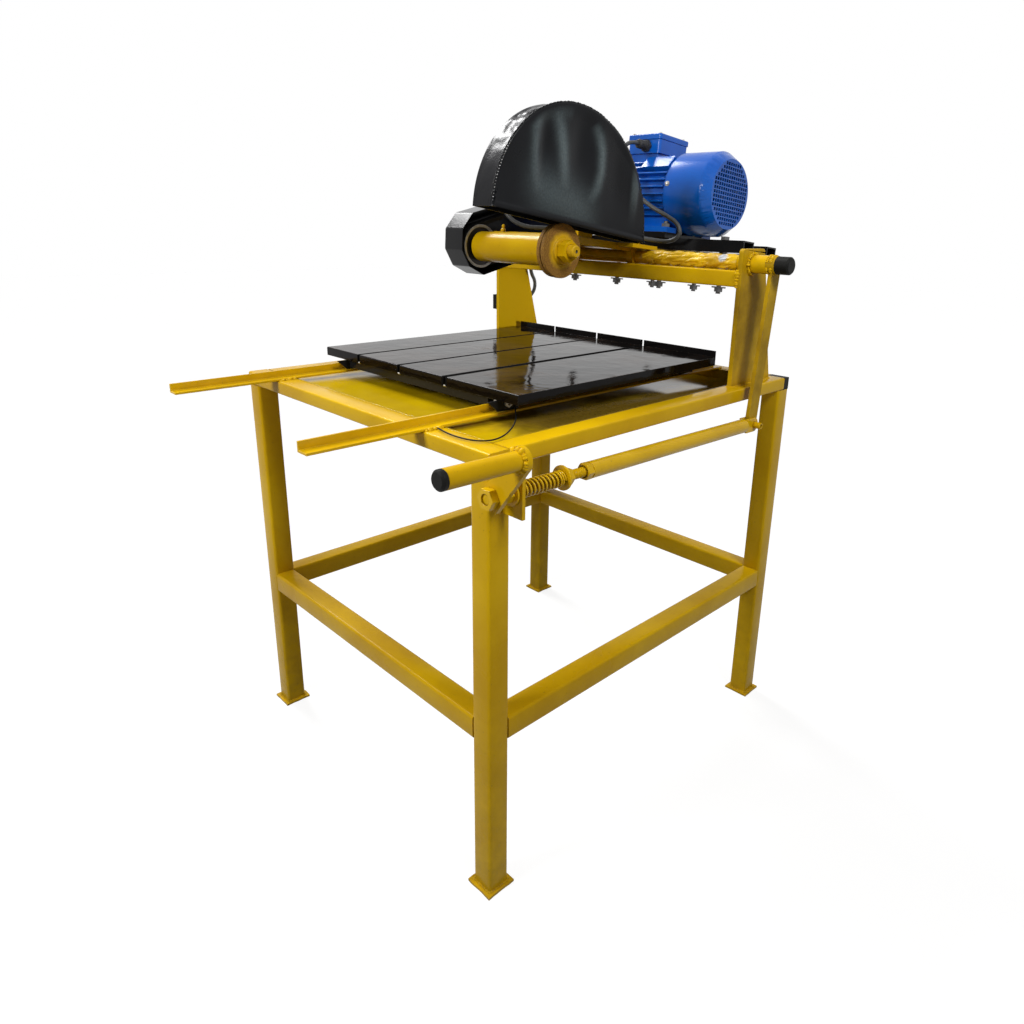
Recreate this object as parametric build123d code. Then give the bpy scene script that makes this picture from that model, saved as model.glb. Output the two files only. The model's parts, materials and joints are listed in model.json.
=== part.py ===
from build123d import *
import math
import os

# A stand-mounted mosaic cutting saw with a rolling tray and a head lowered by a hand crank.
# Millimetres. X runs to the operator's right, Y to the back, Z up. The floor is Z = 0.

# Slack between neighbours
RUN = 0.05
SLIP = 0.1
GAP = 0.3

# Stand of square tube
TUBE = 40
TUBE_WALL = 3
STAND_WIDTH = 738
STAND_DEPTH = 828
FOOT_SIDE = 56
FOOT_THICK = 4
STAND_TOP = 757
RAIL_HEIGHT = 25
STRETCHER_TOP = 322
PLUG_HEAD = 20
PLUG_DEPTH = 20
PLUG_ROUND = 2

# Uprights, cross beam and the bosses that the axle turns in
UPRIGHT_THICK = 9
UPRIGHT_INSET = 23
UPRIGHT_FRONT = 222
UPRIGHT_TOP = 1017
UPRIGHT_TOP_DEPTH = 78
UPRIGHT_BASE_DEPTH = 146
UPRIGHT_CORNER = 8
CROSS_HEIGHT = 30
CROSS_DEPTH = 20
CROSS_TOP = 977
AXLE_Y = 258.6
AXLE_Z = 989.5
AXLE_OD = 26.9
AXLE_WALL = 3.2
BOSS_OD = 33.7
BOSS_LENGTH = 35.5
BARE_END = 17
CAP_OD = 32.5
CAP_LENGTH = 27.5
CAP_WALL = 6
CAP_BEVEL = 3
WRAP_FROM_UPRIGHT = 19
WRAP_FROM_LUG = 14
WRAP_OD = 31

# Track rails of angle iron, and the water pan between the stand's top rails
ANGLE = 25
ANGLE_TALL = 16
ANGLE_THICK = 4
TRACK_RIGHT = 197
TRACK_LEFT = -266
TRACK_FRONT = -598
TRACK_SEAT = 12
PAN_THICK = 2
PAN_FRONT_DROP = 7
PAN_REAR_DROP = 22
PAN_LIP = 0.5

# Tray of four folded strips on a sub-frame with rollers
TRAY_TOP = 800
TRAY_SHEET = 3
TRAY_LEFT = -310
TRAY_RIGHT = 273
TRAY_FRONT = -272
TRAY_REAR = 276
TRAY_GROOVES = (-188, -51, 86)
GROOVE = 5
TRAY_FLANGE = 17
FENCE = 13
SUBFRAME_CLEAR = 5
SUBFRAME_HEIGHT = 30
SUBFRAME_BAR = 5
SUBFRAME_SETBACK = 8
ROLLER_OD = 30
ROLLER_WIDE = 9
ROLLER_BORE = 8
ROLLER_FROM_TRACK = 10
ROLLER_FRONT = -250
ROLLER_REAR = 245
BRACKET_SHEET = 5
BRACKET_DROP = 36
BRACKET_NOSE = 40
BRACKET_HEEL = 25
BRACKET_CLEAR = 3
BRACKET_LAP = 1
BOLT_HEAD = 13
BOLT_HEAD_TALL = 5
RIVET_OD = 13
RIVET_TALL = 3

# Screw, spring and push rod that tilt the head
ROD_OUT = 19
SCREW_Z = 702
SCREW_SETBACK = 27
SCREW_OD = 16
SCREW_END = 235
SCREW_PLATE = 6
SCREW_PLATE_WIDE = 42
SCREW_PLATE_LOW = 667
SCREW_PLATE_HIGH = 740
SCREW_PLAY = 0.5
WASHER_OD = 38
WASHER_THICK = 3.5
SPRING_LENGTH = 92
SPRING_OD = 25
SPRING_WIRE = 3.5
SPRING_OPEN_TURNS = 10
SPRING_FRONT_TURNS = 1
SPRING_BACK_TURNS = 2
SPRING_CLOSED_PITCH = 4.2
JAM_NUT = 24
JAM_NUT_TALL = 13
BARE_THREAD = 30
ROD_NUT = 24
ROD_NUT_TALL = 13
ROD_NUT_PLAY = 1.6
ROD_OD = 26.9
ROD_WALL = 2.6
PIN_Y = 236
PIN_Z = 690
PIN_OD = 12.6
PIN_BORE = 7
PIN_OUTER = 24
PIN_INNER = 13
FORK_THICK = 5
FORK_WIDE = 27
FORK_ROOM = 26
LEVER_THICK = 8
LEVER_WIDE = 30
LEVER_TOP_BACK = 10

# Hand crank
CRANK_SIDE = 50
CRANK_RISE = 64
WEB_THICK = 8
WEB_WIDE = 38
WEB_TAIL = 13
WEB_STAND_OFF = 29.5
CRANK_NUT = 28
CRANK_NUT_TALL = 12
SCREW_SHY = 2
GRIP_OD = 26.9
GRIP_WALL = 3.2
GRIP_LENGTH = 118
GRIP_CAP = 9
GRIP_CAP_BEVEL = 3
GRIP_CAP_DEPTH = 20

# Tilting head, drawn level about the axle and then turned nose up
HEAD_TILT = 5.36
PLATE_TOP = 23.7
PLATE_THICK = 8
PLATE_LEFT = -118
PLATE_RIGHT = 66
PLATE_FRONT = -246
PLATE_REAR = 290
PLATE_FLANGE = 14
PLATE_SIDE = 6
LUG_THICK = 16
LUG_WIDE = 40
LUG_RIGHT = 54
LUG_LEFT = -118

# Spindle
SPINDLE_Y = -256.9
SPINDLE_Z = -8.5
PIPE_OD = 60.3
PIPE_WALL = 4
PIPE_LEFT = -137
PIPE_RIGHT = 72
SHAFT_OD = 25
SHAFT_LEFT = -182
SHAFT_RIGHT = 131
BEARING_OD = 52
BEARING_WIDE = 15
BEARING_INSET = 7
INNER_FLANGE_OD = 98
INNER_FLANGE_WIDE = 8
INNER_HUB_OD = 44
FLANGE_STAND_OFF = 3
BLADE_FACE = 86
OUTER_FLANGE_OD = 100
OUTER_FLANGE_WIDE = 8
OUTER_HUB_OD = 52
OUTER_HUB_WIDE = 4
OUTER_HUB_BEVEL = 2
THREAD_OD = 24
TIP_OD = 23
TIP_BEVEL = 2
SPINDLE_NUT = 36
SPINDLE_NUT_TALL = 19
NIPPLE_X = -76
NIPPLE_OD = 10
NIPPLE_TALL = 15

# Blade guard
GUARD_LEFT = 59
GUARD_RIGHT = 110
GUARD_SHEET = 2
GUARD_TOP = 246
GUARD_CREST = -254
GUARD_FRONT_R = 195
GUARD_REAR_R = 218
GUARD_FRONT_LOW = 48
GUARD_REAR_LOW = 27
TAB_THICK = 8
TAB_WIDE = 40
TAB_TALL = 52
TAB_FRONT = -180
REAR_LUG_TALL = 22
REAR_LUG_WIDE = 14
REAR_LUG_THICK = 6
LUG_BOLT_SLACK = 1.6
GUARD_BOLT = 6
GUARD_BOLT_HEAD = 10
GUARD_PLATE_FRONT = -70
GUARD_PLATE_REAR = 12

# Belt drive
MOTOR_Y = 184.2
MOTOR_HEIGHT = 90
DRIVEN_OD = 87
DRIVE_OD = 100
PULLEY_RIGHT = -141
BELT_COUNT = 2
BELT_SPACING = 15
BELT_EDGE = 10
BELT_WIDE = 13
BELT_NARROW = 8
BELT_TALL = 8
BELT_PROUD = 1
GROOVE_DEPTH = 11
PULLEY_RIM = 5
PULLEY_RECESS = 2.5
PULLEY_HUB_R = 20
COVER_R = 64
COVER_FORWARD = 12
COVER_LIFT = 10
COVER_OPEN_SIDE = -140
COVER_CLOSED_SIDE = -197
COVER_SHEET = 2
COVER_FLATS = (145, 182, 215, 250)
COVER_BEND = 8
COVER_ARM_FRONT = -165
COVER_ARM_WIDE = 30

# Motor on its slide base
BAR_WIDE = 40
BAR_TALL = 25
BAR_WALL = 3
BAR_LEFT = -235
BAR_RIGHT_ENDS = (265, 240)
BASE_THICK = 12
BASE_LEFT = -100
BASE_RIGHT = 72
BASE_OVERHANG = 10
FOOT_HOLES_APART = 140
FOOT_HOLE_LEFT = -76
FOOT_HOLE_RIGHT = 49
FOOT_SPAN = 176
FOOT_DEEP = 36
FOOT_TALL = 12
FOOT_LEFT = -92
FOOT_RIGHT = 66
FOOT_WEB = 7
STUD_OD = 10
STUD_HEX = 17
STUD_HEX_TALL = 8
STUD_LOW = -61
STUD_END = 4
STUD_WASHER_OD = 30
STUD_WASHER = 3
STUD_ABOVE = 5
BAR_STUDS = (-212, 207)
STATOR_R = 78
STATOR_LEFT = -105
STATOR_RIGHT = 60
FIN_R = 90
FIN_THICK = 3.2
FIN_STEP = 10
FIN_FREE_TOP = 35
FIN_FREE_BASE = 50
FIN_ROOT = 4
PAD_LEFT = -32
PAD_WIDE = 34
PAD_R = 93
PAD_TURN = 47
SHIELD_FACE = -132
SHIELD_BOSS_R = 34
SHIELD_BEVEL = 9
SHIELD_STEP = 8
SHIELD_RIM = 6
SHIELD_CHAMFER = 2
MOTOR_SHAFT_OD = 24
FAN_COVER_R = 89.5
FAN_COVER_SHEET = 2
FAN_COVER_LEFT = 47
FAN_COVER_LIP = 4
FAN_COVER_BEND = 137
FAN_COVER_FACE = 160
FAN_FACE_R = 73
GRILLE_R = 68.5
GRILLE_HOLE = 6.4
GRILLE_PITCH = 8.8
FAN_R = 78
FAN_LEFT = 74
FAN_WIDE = 30
FAN_BLADES = 8
FAN_BLADE = 3
FAN_BLADE_ROOT = 2
FAN_NUT = 4
FAN_HUB_R = 22
BOX_LEFT = -97
BOX_RIGHT = -6
BOX_DEEP = 106
BOX_BASE = 81
BOX_TALL = 34
BOX_SEAT = 4
LID_TALL = 12
LID_LAP = 2
LID_ROUND = 6
GLAND_X = -43
GLAND_OD = 20
GLAND_HEX = 24
GLAND_HEX_TALL = 8
GLAND_RIBS = 5
GLAND_RIB = 5
GLAND_WAIST = 1.5
GLAND_DROP = 14.3

# Motor cable, switch and tie wire
CABLE_OD = 9
CABLE_ROUTE = (
    (-43, 379.8, 1230.7),
    (-43, 350.8, 1233.4),
    (-40, 321, 1213),
    (-26, 306, 1172),
    (8, 312, 1124),
    (46, 323, 1094),
    (84, 331, 1076),
    (114, 335, 1060),
    (124, 334, 1036),
    (100, 330, 1021),
    (62, 323, 1024),
    (20, 292, 1031),
    (-8, 235, 1036),
    (-32, 170, 1042),
    (-60, 112, 1044),
    (-96, 74, 1046),
    (-126, 56, 1068),
    (-146, 62, 1104),
    (-176, 92, 1124),
    (-208, 132, 1108),
    (-224, 172, 1070),
    (-230, 218, 1038),
    (-240, 266, 1024),
    (-262, 292, 1000),
    (-290, 296, 968),
)
SWITCH_ROUTE = (
    (-290.4, 296.06, 967.55),
    (-304, 298, 952),
    (-316, 314, 930),
    (-330, 342, 908),
    (-347, 354, 880),
    (-357, 334, 858),
    (-357, 298, 858),
)
SWITCH_TALL = 36
SWITCH_LOW = 842
SWITCH_OUT = 22
SWITCH_FRONT = 228
SWITCH_REAR = 298
SWITCH_ROUND = 3
ROCKER_LONG = 26
ROCKER_TALL = 16
ROCKER_PROUD = 3
ROCKER_DEEP = 6
ROCKER_CLEAR = 1
ROCKER_HEEL = 2.5
WIRE_OD = 2.4
WIRE_ROUTE = (
    (225.5, -232, 770),
    (226.5, -235, 764.5),
    (232, -240, 761),
    (246, -251, 760),
    (270, -274, 760),
    (298, -306, 760),
    (322, -342, 760),
    (331, -372, 760),
    (318, -393, 760),
    (286, -400, 760),
    (254, -398, 760),
    (228, -392, 760),
)

# Places that follow from the sizes above
SIDE = STAND_WIDTH / 2
END = STAND_DEPTH / 2
LEG_TOP = STAND_TOP - RAIL_HEIGHT
UPRIGHT_OUT = SIDE - UPRIGHT_INSET
UPRIGHT_IN = UPRIGHT_OUT - UPRIGHT_THICK
WRAP_END = UPRIGHT_IN - WRAP_FROM_UPRIGHT
WRAP_START = LUG_RIGHT + LUG_THICK + WRAP_FROM_LUG
BOSS_END = UPRIGHT_OUT + BOSS_LENGTH
CAP_START = BOSS_END + BARE_END
ROD_X = SIDE + ROD_OUT
SCREW_Y = SCREW_SETBACK - END
ROD_DROP = math.degrees(math.atan2(SCREW_Z - PIN_Z, PIN_Y - SCREW_Y))
PIN_AT = math.hypot(SCREW_Z - PIN_Z, PIN_Y - SCREW_Y)
ROLLER_Z = STAND_TOP + ANGLE_THICK + GAP + ROLLER_OD / 2
SUBFRAME_LEFT = TRACK_LEFT + ANGLE + BRACKET_SHEET
SUBFRAME_RIGHT = TRACK_RIGHT - SUBFRAME_CLEAR
TRAY_UNDER = TRAY_TOP - TRAY_SHEET
PLATE_UNDER = PLATE_TOP - PLATE_THICK
BASE_TOP = PLATE_TOP + BAR_TALL + BASE_THICK
MOTOR_Z = BASE_TOP + MOTOR_HEIGHT
FRONT_HOLES = MOTOR_Y - FOOT_HOLES_APART / 2
REAR_HOLES = MOTOR_Y + FOOT_HOLES_APART / 2

HEAD = Pos(0, AXLE_Y, AXLE_Z) * Rot(-HEAD_TILT, 0, 0)
ROD = Pos(ROD_X, SCREW_Y, SCREW_Z) * Rot(-ROD_DROP, 0, 0)
MOTOR = HEAD * Pos(0, MOTOR_Y, MOTOR_Z)
SPINDLE = HEAD * Pos(0, SPINDLE_Y, SPINDLE_Z)
ALONG_X = Rot(0, 90, 0)
ALONG_Y = Rot(-90, 0, 0)

nodes = {}
cords = []


def block(x, y, z):
    """A box between two limits on each axis."""
    size = Box(x[1] - x[0], y[1] - y[0], z[1] - z[0])
    return Pos(sum(x) / 2, sum(y) / 2, sum(z) / 2) * size


def rod(axis, start, end, diameter):
    """A round bar along an axis through the origin, between two stations."""
    return axis * Pos(0, 0, (start + end) / 2) * Cylinder(diameter / 2, end - start)


def pipe(axis, start, end, outer, inner):
    """A round tube along an axis through the origin, between two stations."""
    return rod(axis, start, end, outer) - rod(axis, start - 1, end + 1, inner)


def box_tube(x, y, z, wall, open_axis):
    """A rectangular tube that is open along one axis, 0 for X, 1 for Y, 2 for Z."""
    limits = []
    for number, pair in enumerate((x, y, z)):
        inset = -1 if number == open_axis else wall
        limits.append((pair[0] + inset, pair[1] - inset))
    return block(x, y, z) - block(*limits)


def hexagon(axis, start, tall, across, bore):
    """A hexagon nut along an axis through the origin."""
    body = extrude(RegularPolygon(across / 2, 6, major_radius=False), tall)
    return axis * Pos(0, 0, start) * body - rod(axis, start - 1, start + tall + 1, bore)


def side_plate(x, outline):
    """A flat piece with an outline in the YZ plane, between two stations along X."""
    face = Plane.YZ.offset(x[0]) * make_face(outline)
    return extrude(face, x[1] - x[0], dir=(1, 0, 0))


def turned(profile):
    """A turned piece about X from points of station and radius."""
    return revolve(Plane.XY * make_face(Polyline(*profile, close=True)), Axis.X)


def loop(first, first_r, second, second_r):
    """Lines and arcs that go round two circles in the YZ plane, drawn as 2D edges."""
    along = Vector(second) - Vector(first)
    unit = along.normalized()
    across = Vector(-unit.Y, unit.X)
    lean = (first_r - second_r) / along.length
    rise = math.sqrt(1 - lean * lean)
    upper = unit * lean + across * rise
    lower = unit * lean - across * rise
    points = [Vector(first) + upper * first_r, Vector(second) + upper * second_r]
    points += [Vector(second) + lower * second_r, Vector(first) + lower * first_r]
    far = Vector(second) + unit * second_r
    near = Vector(first) - unit * first_r
    edges = [Line(points[0], points[1]), ThreePointArc(points[1], far, points[2])]
    edges += [Line(points[2], points[3]), ThreePointArc(points[3], near, points[0])]
    return edges


def tube_along(route, diameter, name):
    """A cord's tube on straight runs joined by the largest tangent arcs that fit."""
    points = [Vector(point) for point in route]
    radii = []
    for before, here, after in zip(points, points[1:], points[2:]):
        turn = math.radians((here - before).get_angle(after - here))
        shorter = min((here - before).length, (after - here).length)
        radii.append(0.45 * shorter / math.tan(turn / 2))
    path = FilletPolyline(*points, radius=radii)
    start = Plane(origin=points[0], z_dir=points[1] - points[0])
    tube = sweep(start * Circle(diameter / 2), path=path)
    expected = math.pi * diameter ** 2 / 4 * path.length
    print(name, "radii", [round(radius) for radius in radii])
    print(name, "length", round(path.length), "volume ratio", round(tube.volume / expected, 4))
    return tube


def add(name, *solids):
    """Keeps a named piece, or a group of like pieces under one name."""
    nodes[name] = solids


# Stand
corners = [(sx, sy) for sx in (-1, 1) for sy in (-1, 1)]


def at_corner(side, end, size):
    """The limits along X and Y of a square post at one corner of the stand."""
    x = sorted((side * SIDE, side * (SIDE - size)))
    y = sorted((end * END, end * (END - size)))
    return x, y


legs = []
for sx, sy in corners:
    legs.append(box_tube(*at_corner(sx, sy, TUBE), (FOOT_THICK, LEG_TOP), TUBE_WALL, 2))
    middle = Pos(sx * (SIDE - TUBE / 2), sy * (END - TUBE / 2), FOOT_THICK / 2)
    legs.append(middle * Box(FOOT_SIDE, FOOT_SIDE, FOOT_THICK))
add("legs_with_feet", *legs)

stretcher_z = (STRETCHER_TOP - TUBE, STRETCHER_TOP)
stretchers = []
for sign in (-1, 1):
    y = sorted((sign * END, sign * (END - TUBE)))
    x = sorted((sign * SIDE, sign * (SIDE - TUBE)))
    stretchers.append(box_tube((TUBE - SIDE, SIDE - TUBE), y, stretcher_z, TUBE_WALL, 0))
    stretchers.append(box_tube(x, (TUBE - END, END - TUBE), stretcher_z, TUBE_WALL, 1))
add("stretchers", *stretchers)

rail_z = (LEG_TOP, STAND_TOP)
front_rail = block((-SIDE, SIDE), (-END, TUBE - END), rail_z)
front_core = block(
    (TUBE_WALL - SIDE, SIDE - TUBE_WALL),
    (TUBE_WALL - END, TUBE - TUBE_WALL - END),
    (LEG_TOP + TUBE_WALL, STAND_TOP - TUBE_WALL),
)
rear_rail = box_tube((TUBE - SIDE, SIDE - TUBE), (END - TUBE, END), rail_z, TUBE_WALL, 0)
top_rails = [front_rail - front_core, rear_rail]
plugs = []
plug_front = END - PLUG_HEAD
for sign in (-1, 1):
    x = sorted((sign * SIDE, sign * (SIDE - TUBE)))
    top_rails.append(box_tube(x, (TUBE - END, plug_front), rail_z, TUBE_WALL, 1))
    head = block(x, (plug_front, END), rail_z)
    head = fillet(head.edges().group_by(Axis.Y)[-1], PLUG_ROUND)
    inset = TUBE_WALL + SLIP
    stem = block(
        (x[0] + inset, x[1] - inset),
        (plug_front - PLUG_DEPTH, plug_front),
        (LEG_TOP + inset, STAND_TOP - inset),
    )
    plugs.append(head + stem)
add("top_rails", *top_rails)
add("rail_plugs", *plugs)

# Uprights, cross beam and axle bosses
upright_outline = FilletPolyline(
    (UPRIGHT_FRONT + UPRIGHT_BASE_DEPTH, STAND_TOP),
    (UPRIGHT_FRONT + UPRIGHT_TOP_DEPTH, UPRIGHT_TOP),
    (UPRIGHT_FRONT, UPRIGHT_TOP),
    (UPRIGHT_FRONT, STAND_TOP),
    radius=UPRIGHT_CORNER,
)
upright_base = Line((UPRIGHT_FRONT, STAND_TOP), (UPRIGHT_FRONT + UPRIGHT_BASE_DEPTH, STAND_TOP))
axle_line = Pos(0, AXLE_Y, AXLE_Z) * ALONG_X
uprights = []
bosses = []
for sign in (-1, 1):
    x = sorted((sign * UPRIGHT_IN, sign * UPRIGHT_OUT))
    boss = sorted((sign * UPRIGHT_OUT, sign * BOSS_END))
    plate = side_plate(x, upright_outline + upright_base)
    uprights.append(plate - rod(axle_line, x[0] - 1, x[1] + 1, AXLE_OD + 2 * GAP))
    bosses.append(pipe(axle_line, boss[0], boss[1], BOSS_OD, AXLE_OD + 2 * RUN))
add("uprights", *uprights)
add("axle_bosses", *bosses)

cross_beam = box_tube(
    (-UPRIGHT_IN, UPRIGHT_IN),
    (UPRIGHT_FRONT, UPRIGHT_FRONT + CROSS_DEPTH),
    (CROSS_TOP - CROSS_HEIGHT, CROSS_TOP),
    TUBE_WALL,
    0,
)
add("cross_beam", cross_beam)

# Track rails and water pan
tracks = []
for edge in (TRACK_LEFT, TRACK_RIGHT):
    profile = Polyline(
        (edge, STAND_TOP),
        (edge + ANGLE, STAND_TOP),
        (edge + ANGLE, STAND_TOP + ANGLE_THICK),
        (edge + ANGLE_THICK, STAND_TOP + ANGLE_THICK),
        (edge + ANGLE_THICK, STAND_TOP + ANGLE_TALL),
        (edge, STAND_TOP + ANGLE_TALL),
        close=True,
    )
    face = Plane.XZ.offset(-TRACK_FRONT) * make_face(profile)
    tracks.append(extrude(face, END - TUBE + TRACK_SEAT - TRACK_FRONT, dir=(0, 1, 0)))
add("track_rails", *tracks)

pan_x = SIDE - TUBE - GAP
pan_y = END - TUBE - GAP
pan_top = STAND_TOP - PAN_LIP
pan_front = STAND_TOP - PAN_FRONT_DROP
pan_rear = STAND_TOP - PAN_REAR_DROP
pan_outside = Polyline(
    (-pan_y, pan_top),
    (-pan_y, pan_front - PAN_THICK),
    (pan_y, pan_rear - PAN_THICK),
    (pan_y, pan_top),
    close=True,
)
pan_inside = Polyline(
    (PAN_THICK - pan_y, pan_top + 1),
    (PAN_THICK - pan_y, pan_front),
    (pan_y - PAN_THICK, pan_rear),
    (pan_y - PAN_THICK, pan_top + 1),
    close=True,
)
pan = side_plate((-pan_x, pan_x), pan_outside)
pan -= side_plate((PAN_THICK - pan_x, pan_x - PAN_THICK), pan_inside)
add("water_pan", pan)

# Tray strips with a turned-down front and a turned-up rear fence
strip_edges = [TRAY_LEFT]
for groove in TRAY_GROOVES:
    strip_edges += [groove - GROOVE / 2, groove + GROOVE / 2]
strip_edges.append(TRAY_RIGHT)
flange_low = TRAY_TOP - TRAY_FLANGE
strip_profile = Polyline(
    (TRAY_FRONT, flange_low),
    (TRAY_FRONT, TRAY_TOP),
    (TRAY_REAR - TRAY_SHEET, TRAY_TOP),
    (TRAY_REAR - TRAY_SHEET, TRAY_TOP + FENCE),
    (TRAY_REAR, TRAY_TOP + FENCE),
    (TRAY_REAR, TRAY_UNDER),
    (TRAY_FRONT + TRAY_SHEET, TRAY_UNDER),
    (TRAY_FRONT + TRAY_SHEET, flange_low),
    close=True,
)
strip_count = len(strip_edges) // 2
strips = []
for number in range(strip_count):
    x = strip_edges[2 * number:2 * number + 2]
    strip = side_plate(x, strip_profile)
    front_fold = strip.edges().filter_by(Axis.X).group_by(Axis.Y)[0].sort_by(Axis.Z)[-1]
    strip = fillet(front_fold, TRAY_SHEET * 0.8)
    flange_y = (TRAY_FRONT + TRAY_SHEET, TRAY_REAR)
    if number == 0:
        strip += block((x[0], x[0] + TRAY_SHEET), flange_y, (flange_low, TRAY_UNDER))
    if number == strip_count - 1:
        strip += block((x[1] - TRAY_SHEET, x[1]), flange_y, (flange_low, TRAY_UNDER))
    strips.append(strip)
add("tray_strips", *strips)

# Sub-frame, roller brackets, rollers and their bolts
frame_x = (SUBFRAME_LEFT, SUBFRAME_RIGHT)
frame_y = (TRAY_FRONT + SUBFRAME_SETBACK, TRAY_REAR - SUBFRAME_SETBACK)
frame_z = (TRAY_UNDER - SUBFRAME_HEIGHT, TRAY_UNDER)
subframe = box_tube(frame_x, frame_y, frame_z, SUBFRAME_BAR, 2)

bracket_low = ROLLER_Z - ROLLER_OD / 2 + BRACKET_SHEET / 2
brackets = []
bolts = []
roller_sides = {"left": TRACK_LEFT, "right": TRACK_RIGHT}
roller_ends = {"front": ROLLER_FRONT, "rear": ROLLER_REAR}
bolt_bore = ROLLER_BORE + 2 * RUN
for side_name, track in roller_sides.items():
    roller_x = (track + ROLLER_FROM_TRACK, track + ROLLER_FROM_TRACK + ROLLER_WIDE)
    sheet_x = (track + ANGLE, track + ANGLE + BRACKET_SHEET)
    if side_name == "right":
        sheet_x = (roller_x[1] + BRACKET_CLEAR, roller_x[1] + BRACKET_CLEAR + BRACKET_SHEET)
    bolt_end = sheet_x[1]
    if side_name == "left":
        bolt_end = SUBFRAME_LEFT + SUBFRAME_BAR
    for end_name, station in roller_ends.items():
        line = Pos(0, station, ROLLER_Z) * ALONG_X
        wheel = pipe(line, roller_x[0], roller_x[1], ROLLER_OD, bolt_bore)
        add("roller_" + end_name + "_" + side_name, wheel)
        flange_back = station + TRAY_FRONT + TRAY_SHEET - ROLLER_FRONT + BRACKET_LAP
        outline = Polyline(
            (station - BRACKET_NOSE, flange_low - BRACKET_LAP),
            (station - BRACKET_NOSE / 2, bracket_low),
            (station + BRACKET_HEEL, bracket_low),
            (station + BRACKET_HEEL, TRAY_UNDER),
            (flange_back, TRAY_UNDER),
            (flange_back, flange_low - BRACKET_LAP),
            close=True,
        )
        brackets.append(side_plate(sheet_x, outline) - rod(line, sheet_x[0] - 1, sheet_x[1] + 1, bolt_bore))
        subframe -= rod(line, SUBFRAME_LEFT - 1, SUBFRAME_LEFT + SUBFRAME_BAR + 1, bolt_bore)
        bolt = rod(line, roller_x[0] - GAP - RIVET_TALL, bolt_end + GAP, ROLLER_BORE)
        bolt += rod(line, roller_x[0] - GAP - RIVET_TALL, roller_x[0] - GAP, RIVET_OD)
        bolt += hexagon(line, bolt_end, BOLT_HEAD_TALL, BOLT_HEAD, ROLLER_BORE)
        spacer = pipe(line, roller_x[1] + GAP, sheet_x[0], RIVET_OD, ROLLER_BORE)
        bolts.append(bolt + spacer)
add("tray_frame", subframe)
add("roller_brackets", *brackets)
add("roller_bolts", *bolts)
add("tie_wire", tube_along(WIRE_ROUTE, WIRE_OD, "tie_wire"))
cords.append("tie_wire")

# Screw bracket, washer and spring
rod_line = ROD * ALONG_Y
screw_hole = rod(rod_line, -WEB_STAND_OFF, WEB_STAND_OFF, SCREW_OD + 2 * SCREW_PLAY)
plate_y = (SCREW_Y - SCREW_PLATE / 2, SCREW_Y + SCREW_PLATE / 2)
screw_plate = block((SIDE, SIDE + SCREW_PLATE_WIDE), plate_y, (SCREW_PLATE_LOW, SCREW_PLATE_HIGH))
add("screw_bracket", screw_plate - screw_hole)
seat_gap = math.sin(math.radians(ROD_DROP)) * WASHER_OD / 2 + GAP
seat = SCREW_PLATE / 2 + seat_gap

spring_r = (SPRING_OD - SPRING_WIRE) / 2
closed_turns = SPRING_FRONT_TURNS + SPRING_BACK_TURNS
open_length = SPRING_LENGTH - 2 * GAP - SPRING_WIRE - closed_turns * SPRING_CLOSED_PITCH
open_pitch = open_length / SPRING_OPEN_TURNS
quarter_pitches = [SPRING_CLOSED_PITCH / 4] * (4 * SPRING_FRONT_TURNS)
quarter_pitches += [open_pitch / 4] * (4 * SPRING_OPEN_TURNS)
quarter_pitches += [SPRING_CLOSED_PITCH / 4] * (4 * SPRING_BACK_TURNS)
coil_points = []
coil_height = seat + GAP + SPRING_WIRE / 2
for quarter in range(len(quarter_pitches) + 1):
    angle = quarter * math.pi / 2
    coil_points.append(Vector(spring_r * math.cos(angle), spring_r * math.sin(angle), coil_height))
    if quarter < len(quarter_pitches):
        coil_height += quarter_pitches[quarter]
coil_tangents = []
for quarter in range(len(coil_points)):
    angle = quarter * math.pi / 2
    steps = quarter_pitches[max(quarter - 1, 0):quarter + 1]
    climb = sum(steps) / len(steps) / (math.pi / 2)
    tangent = Vector(-spring_r * math.sin(angle), spring_r * math.cos(angle), climb)
    coil_tangents.append(tangent.normalized())
coil_edges = []
coil_samples = []
for quarter in range(len(quarter_pitches)):
    begin, finish = coil_points[quarter:quarter + 2]
    leave, arrive = coil_tangents[quarter:quarter + 2]
    chord = finish - begin
    both = chord.dot(leave + arrive)
    spread = 2 * (1 - leave.dot(arrive))
    reach = (math.sqrt(both * both + spread * chord.dot(chord)) - both) / spread
    middle = (begin + finish + (leave - arrive) * reach) * 0.5
    heading = (middle - (begin + leave * reach)).normalized()
    coil_edges.append(TangentArc(begin, middle, tangent=leave))
    coil_edges.append(TangentArc(middle, finish, tangent=heading))
    coil_samples += [begin, middle]
coil_path = Wire(coil_edges)
coil_start = Plane(origin=coil_points[0], z_dir=coil_tangents[0])
spring = rod_line * sweep(coil_start * Circle(SPRING_WIRE / 2), path=coil_path)
turn_samples = 8
coil_gaps = []
for first, second in zip(coil_samples, coil_samples[turn_samples:]):
    coil_gaps.append((second - first).length - SPRING_WIRE)
print("spring least gap to itself", round(min(coil_gaps), 3))
add("rod_spring", spring)

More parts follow.
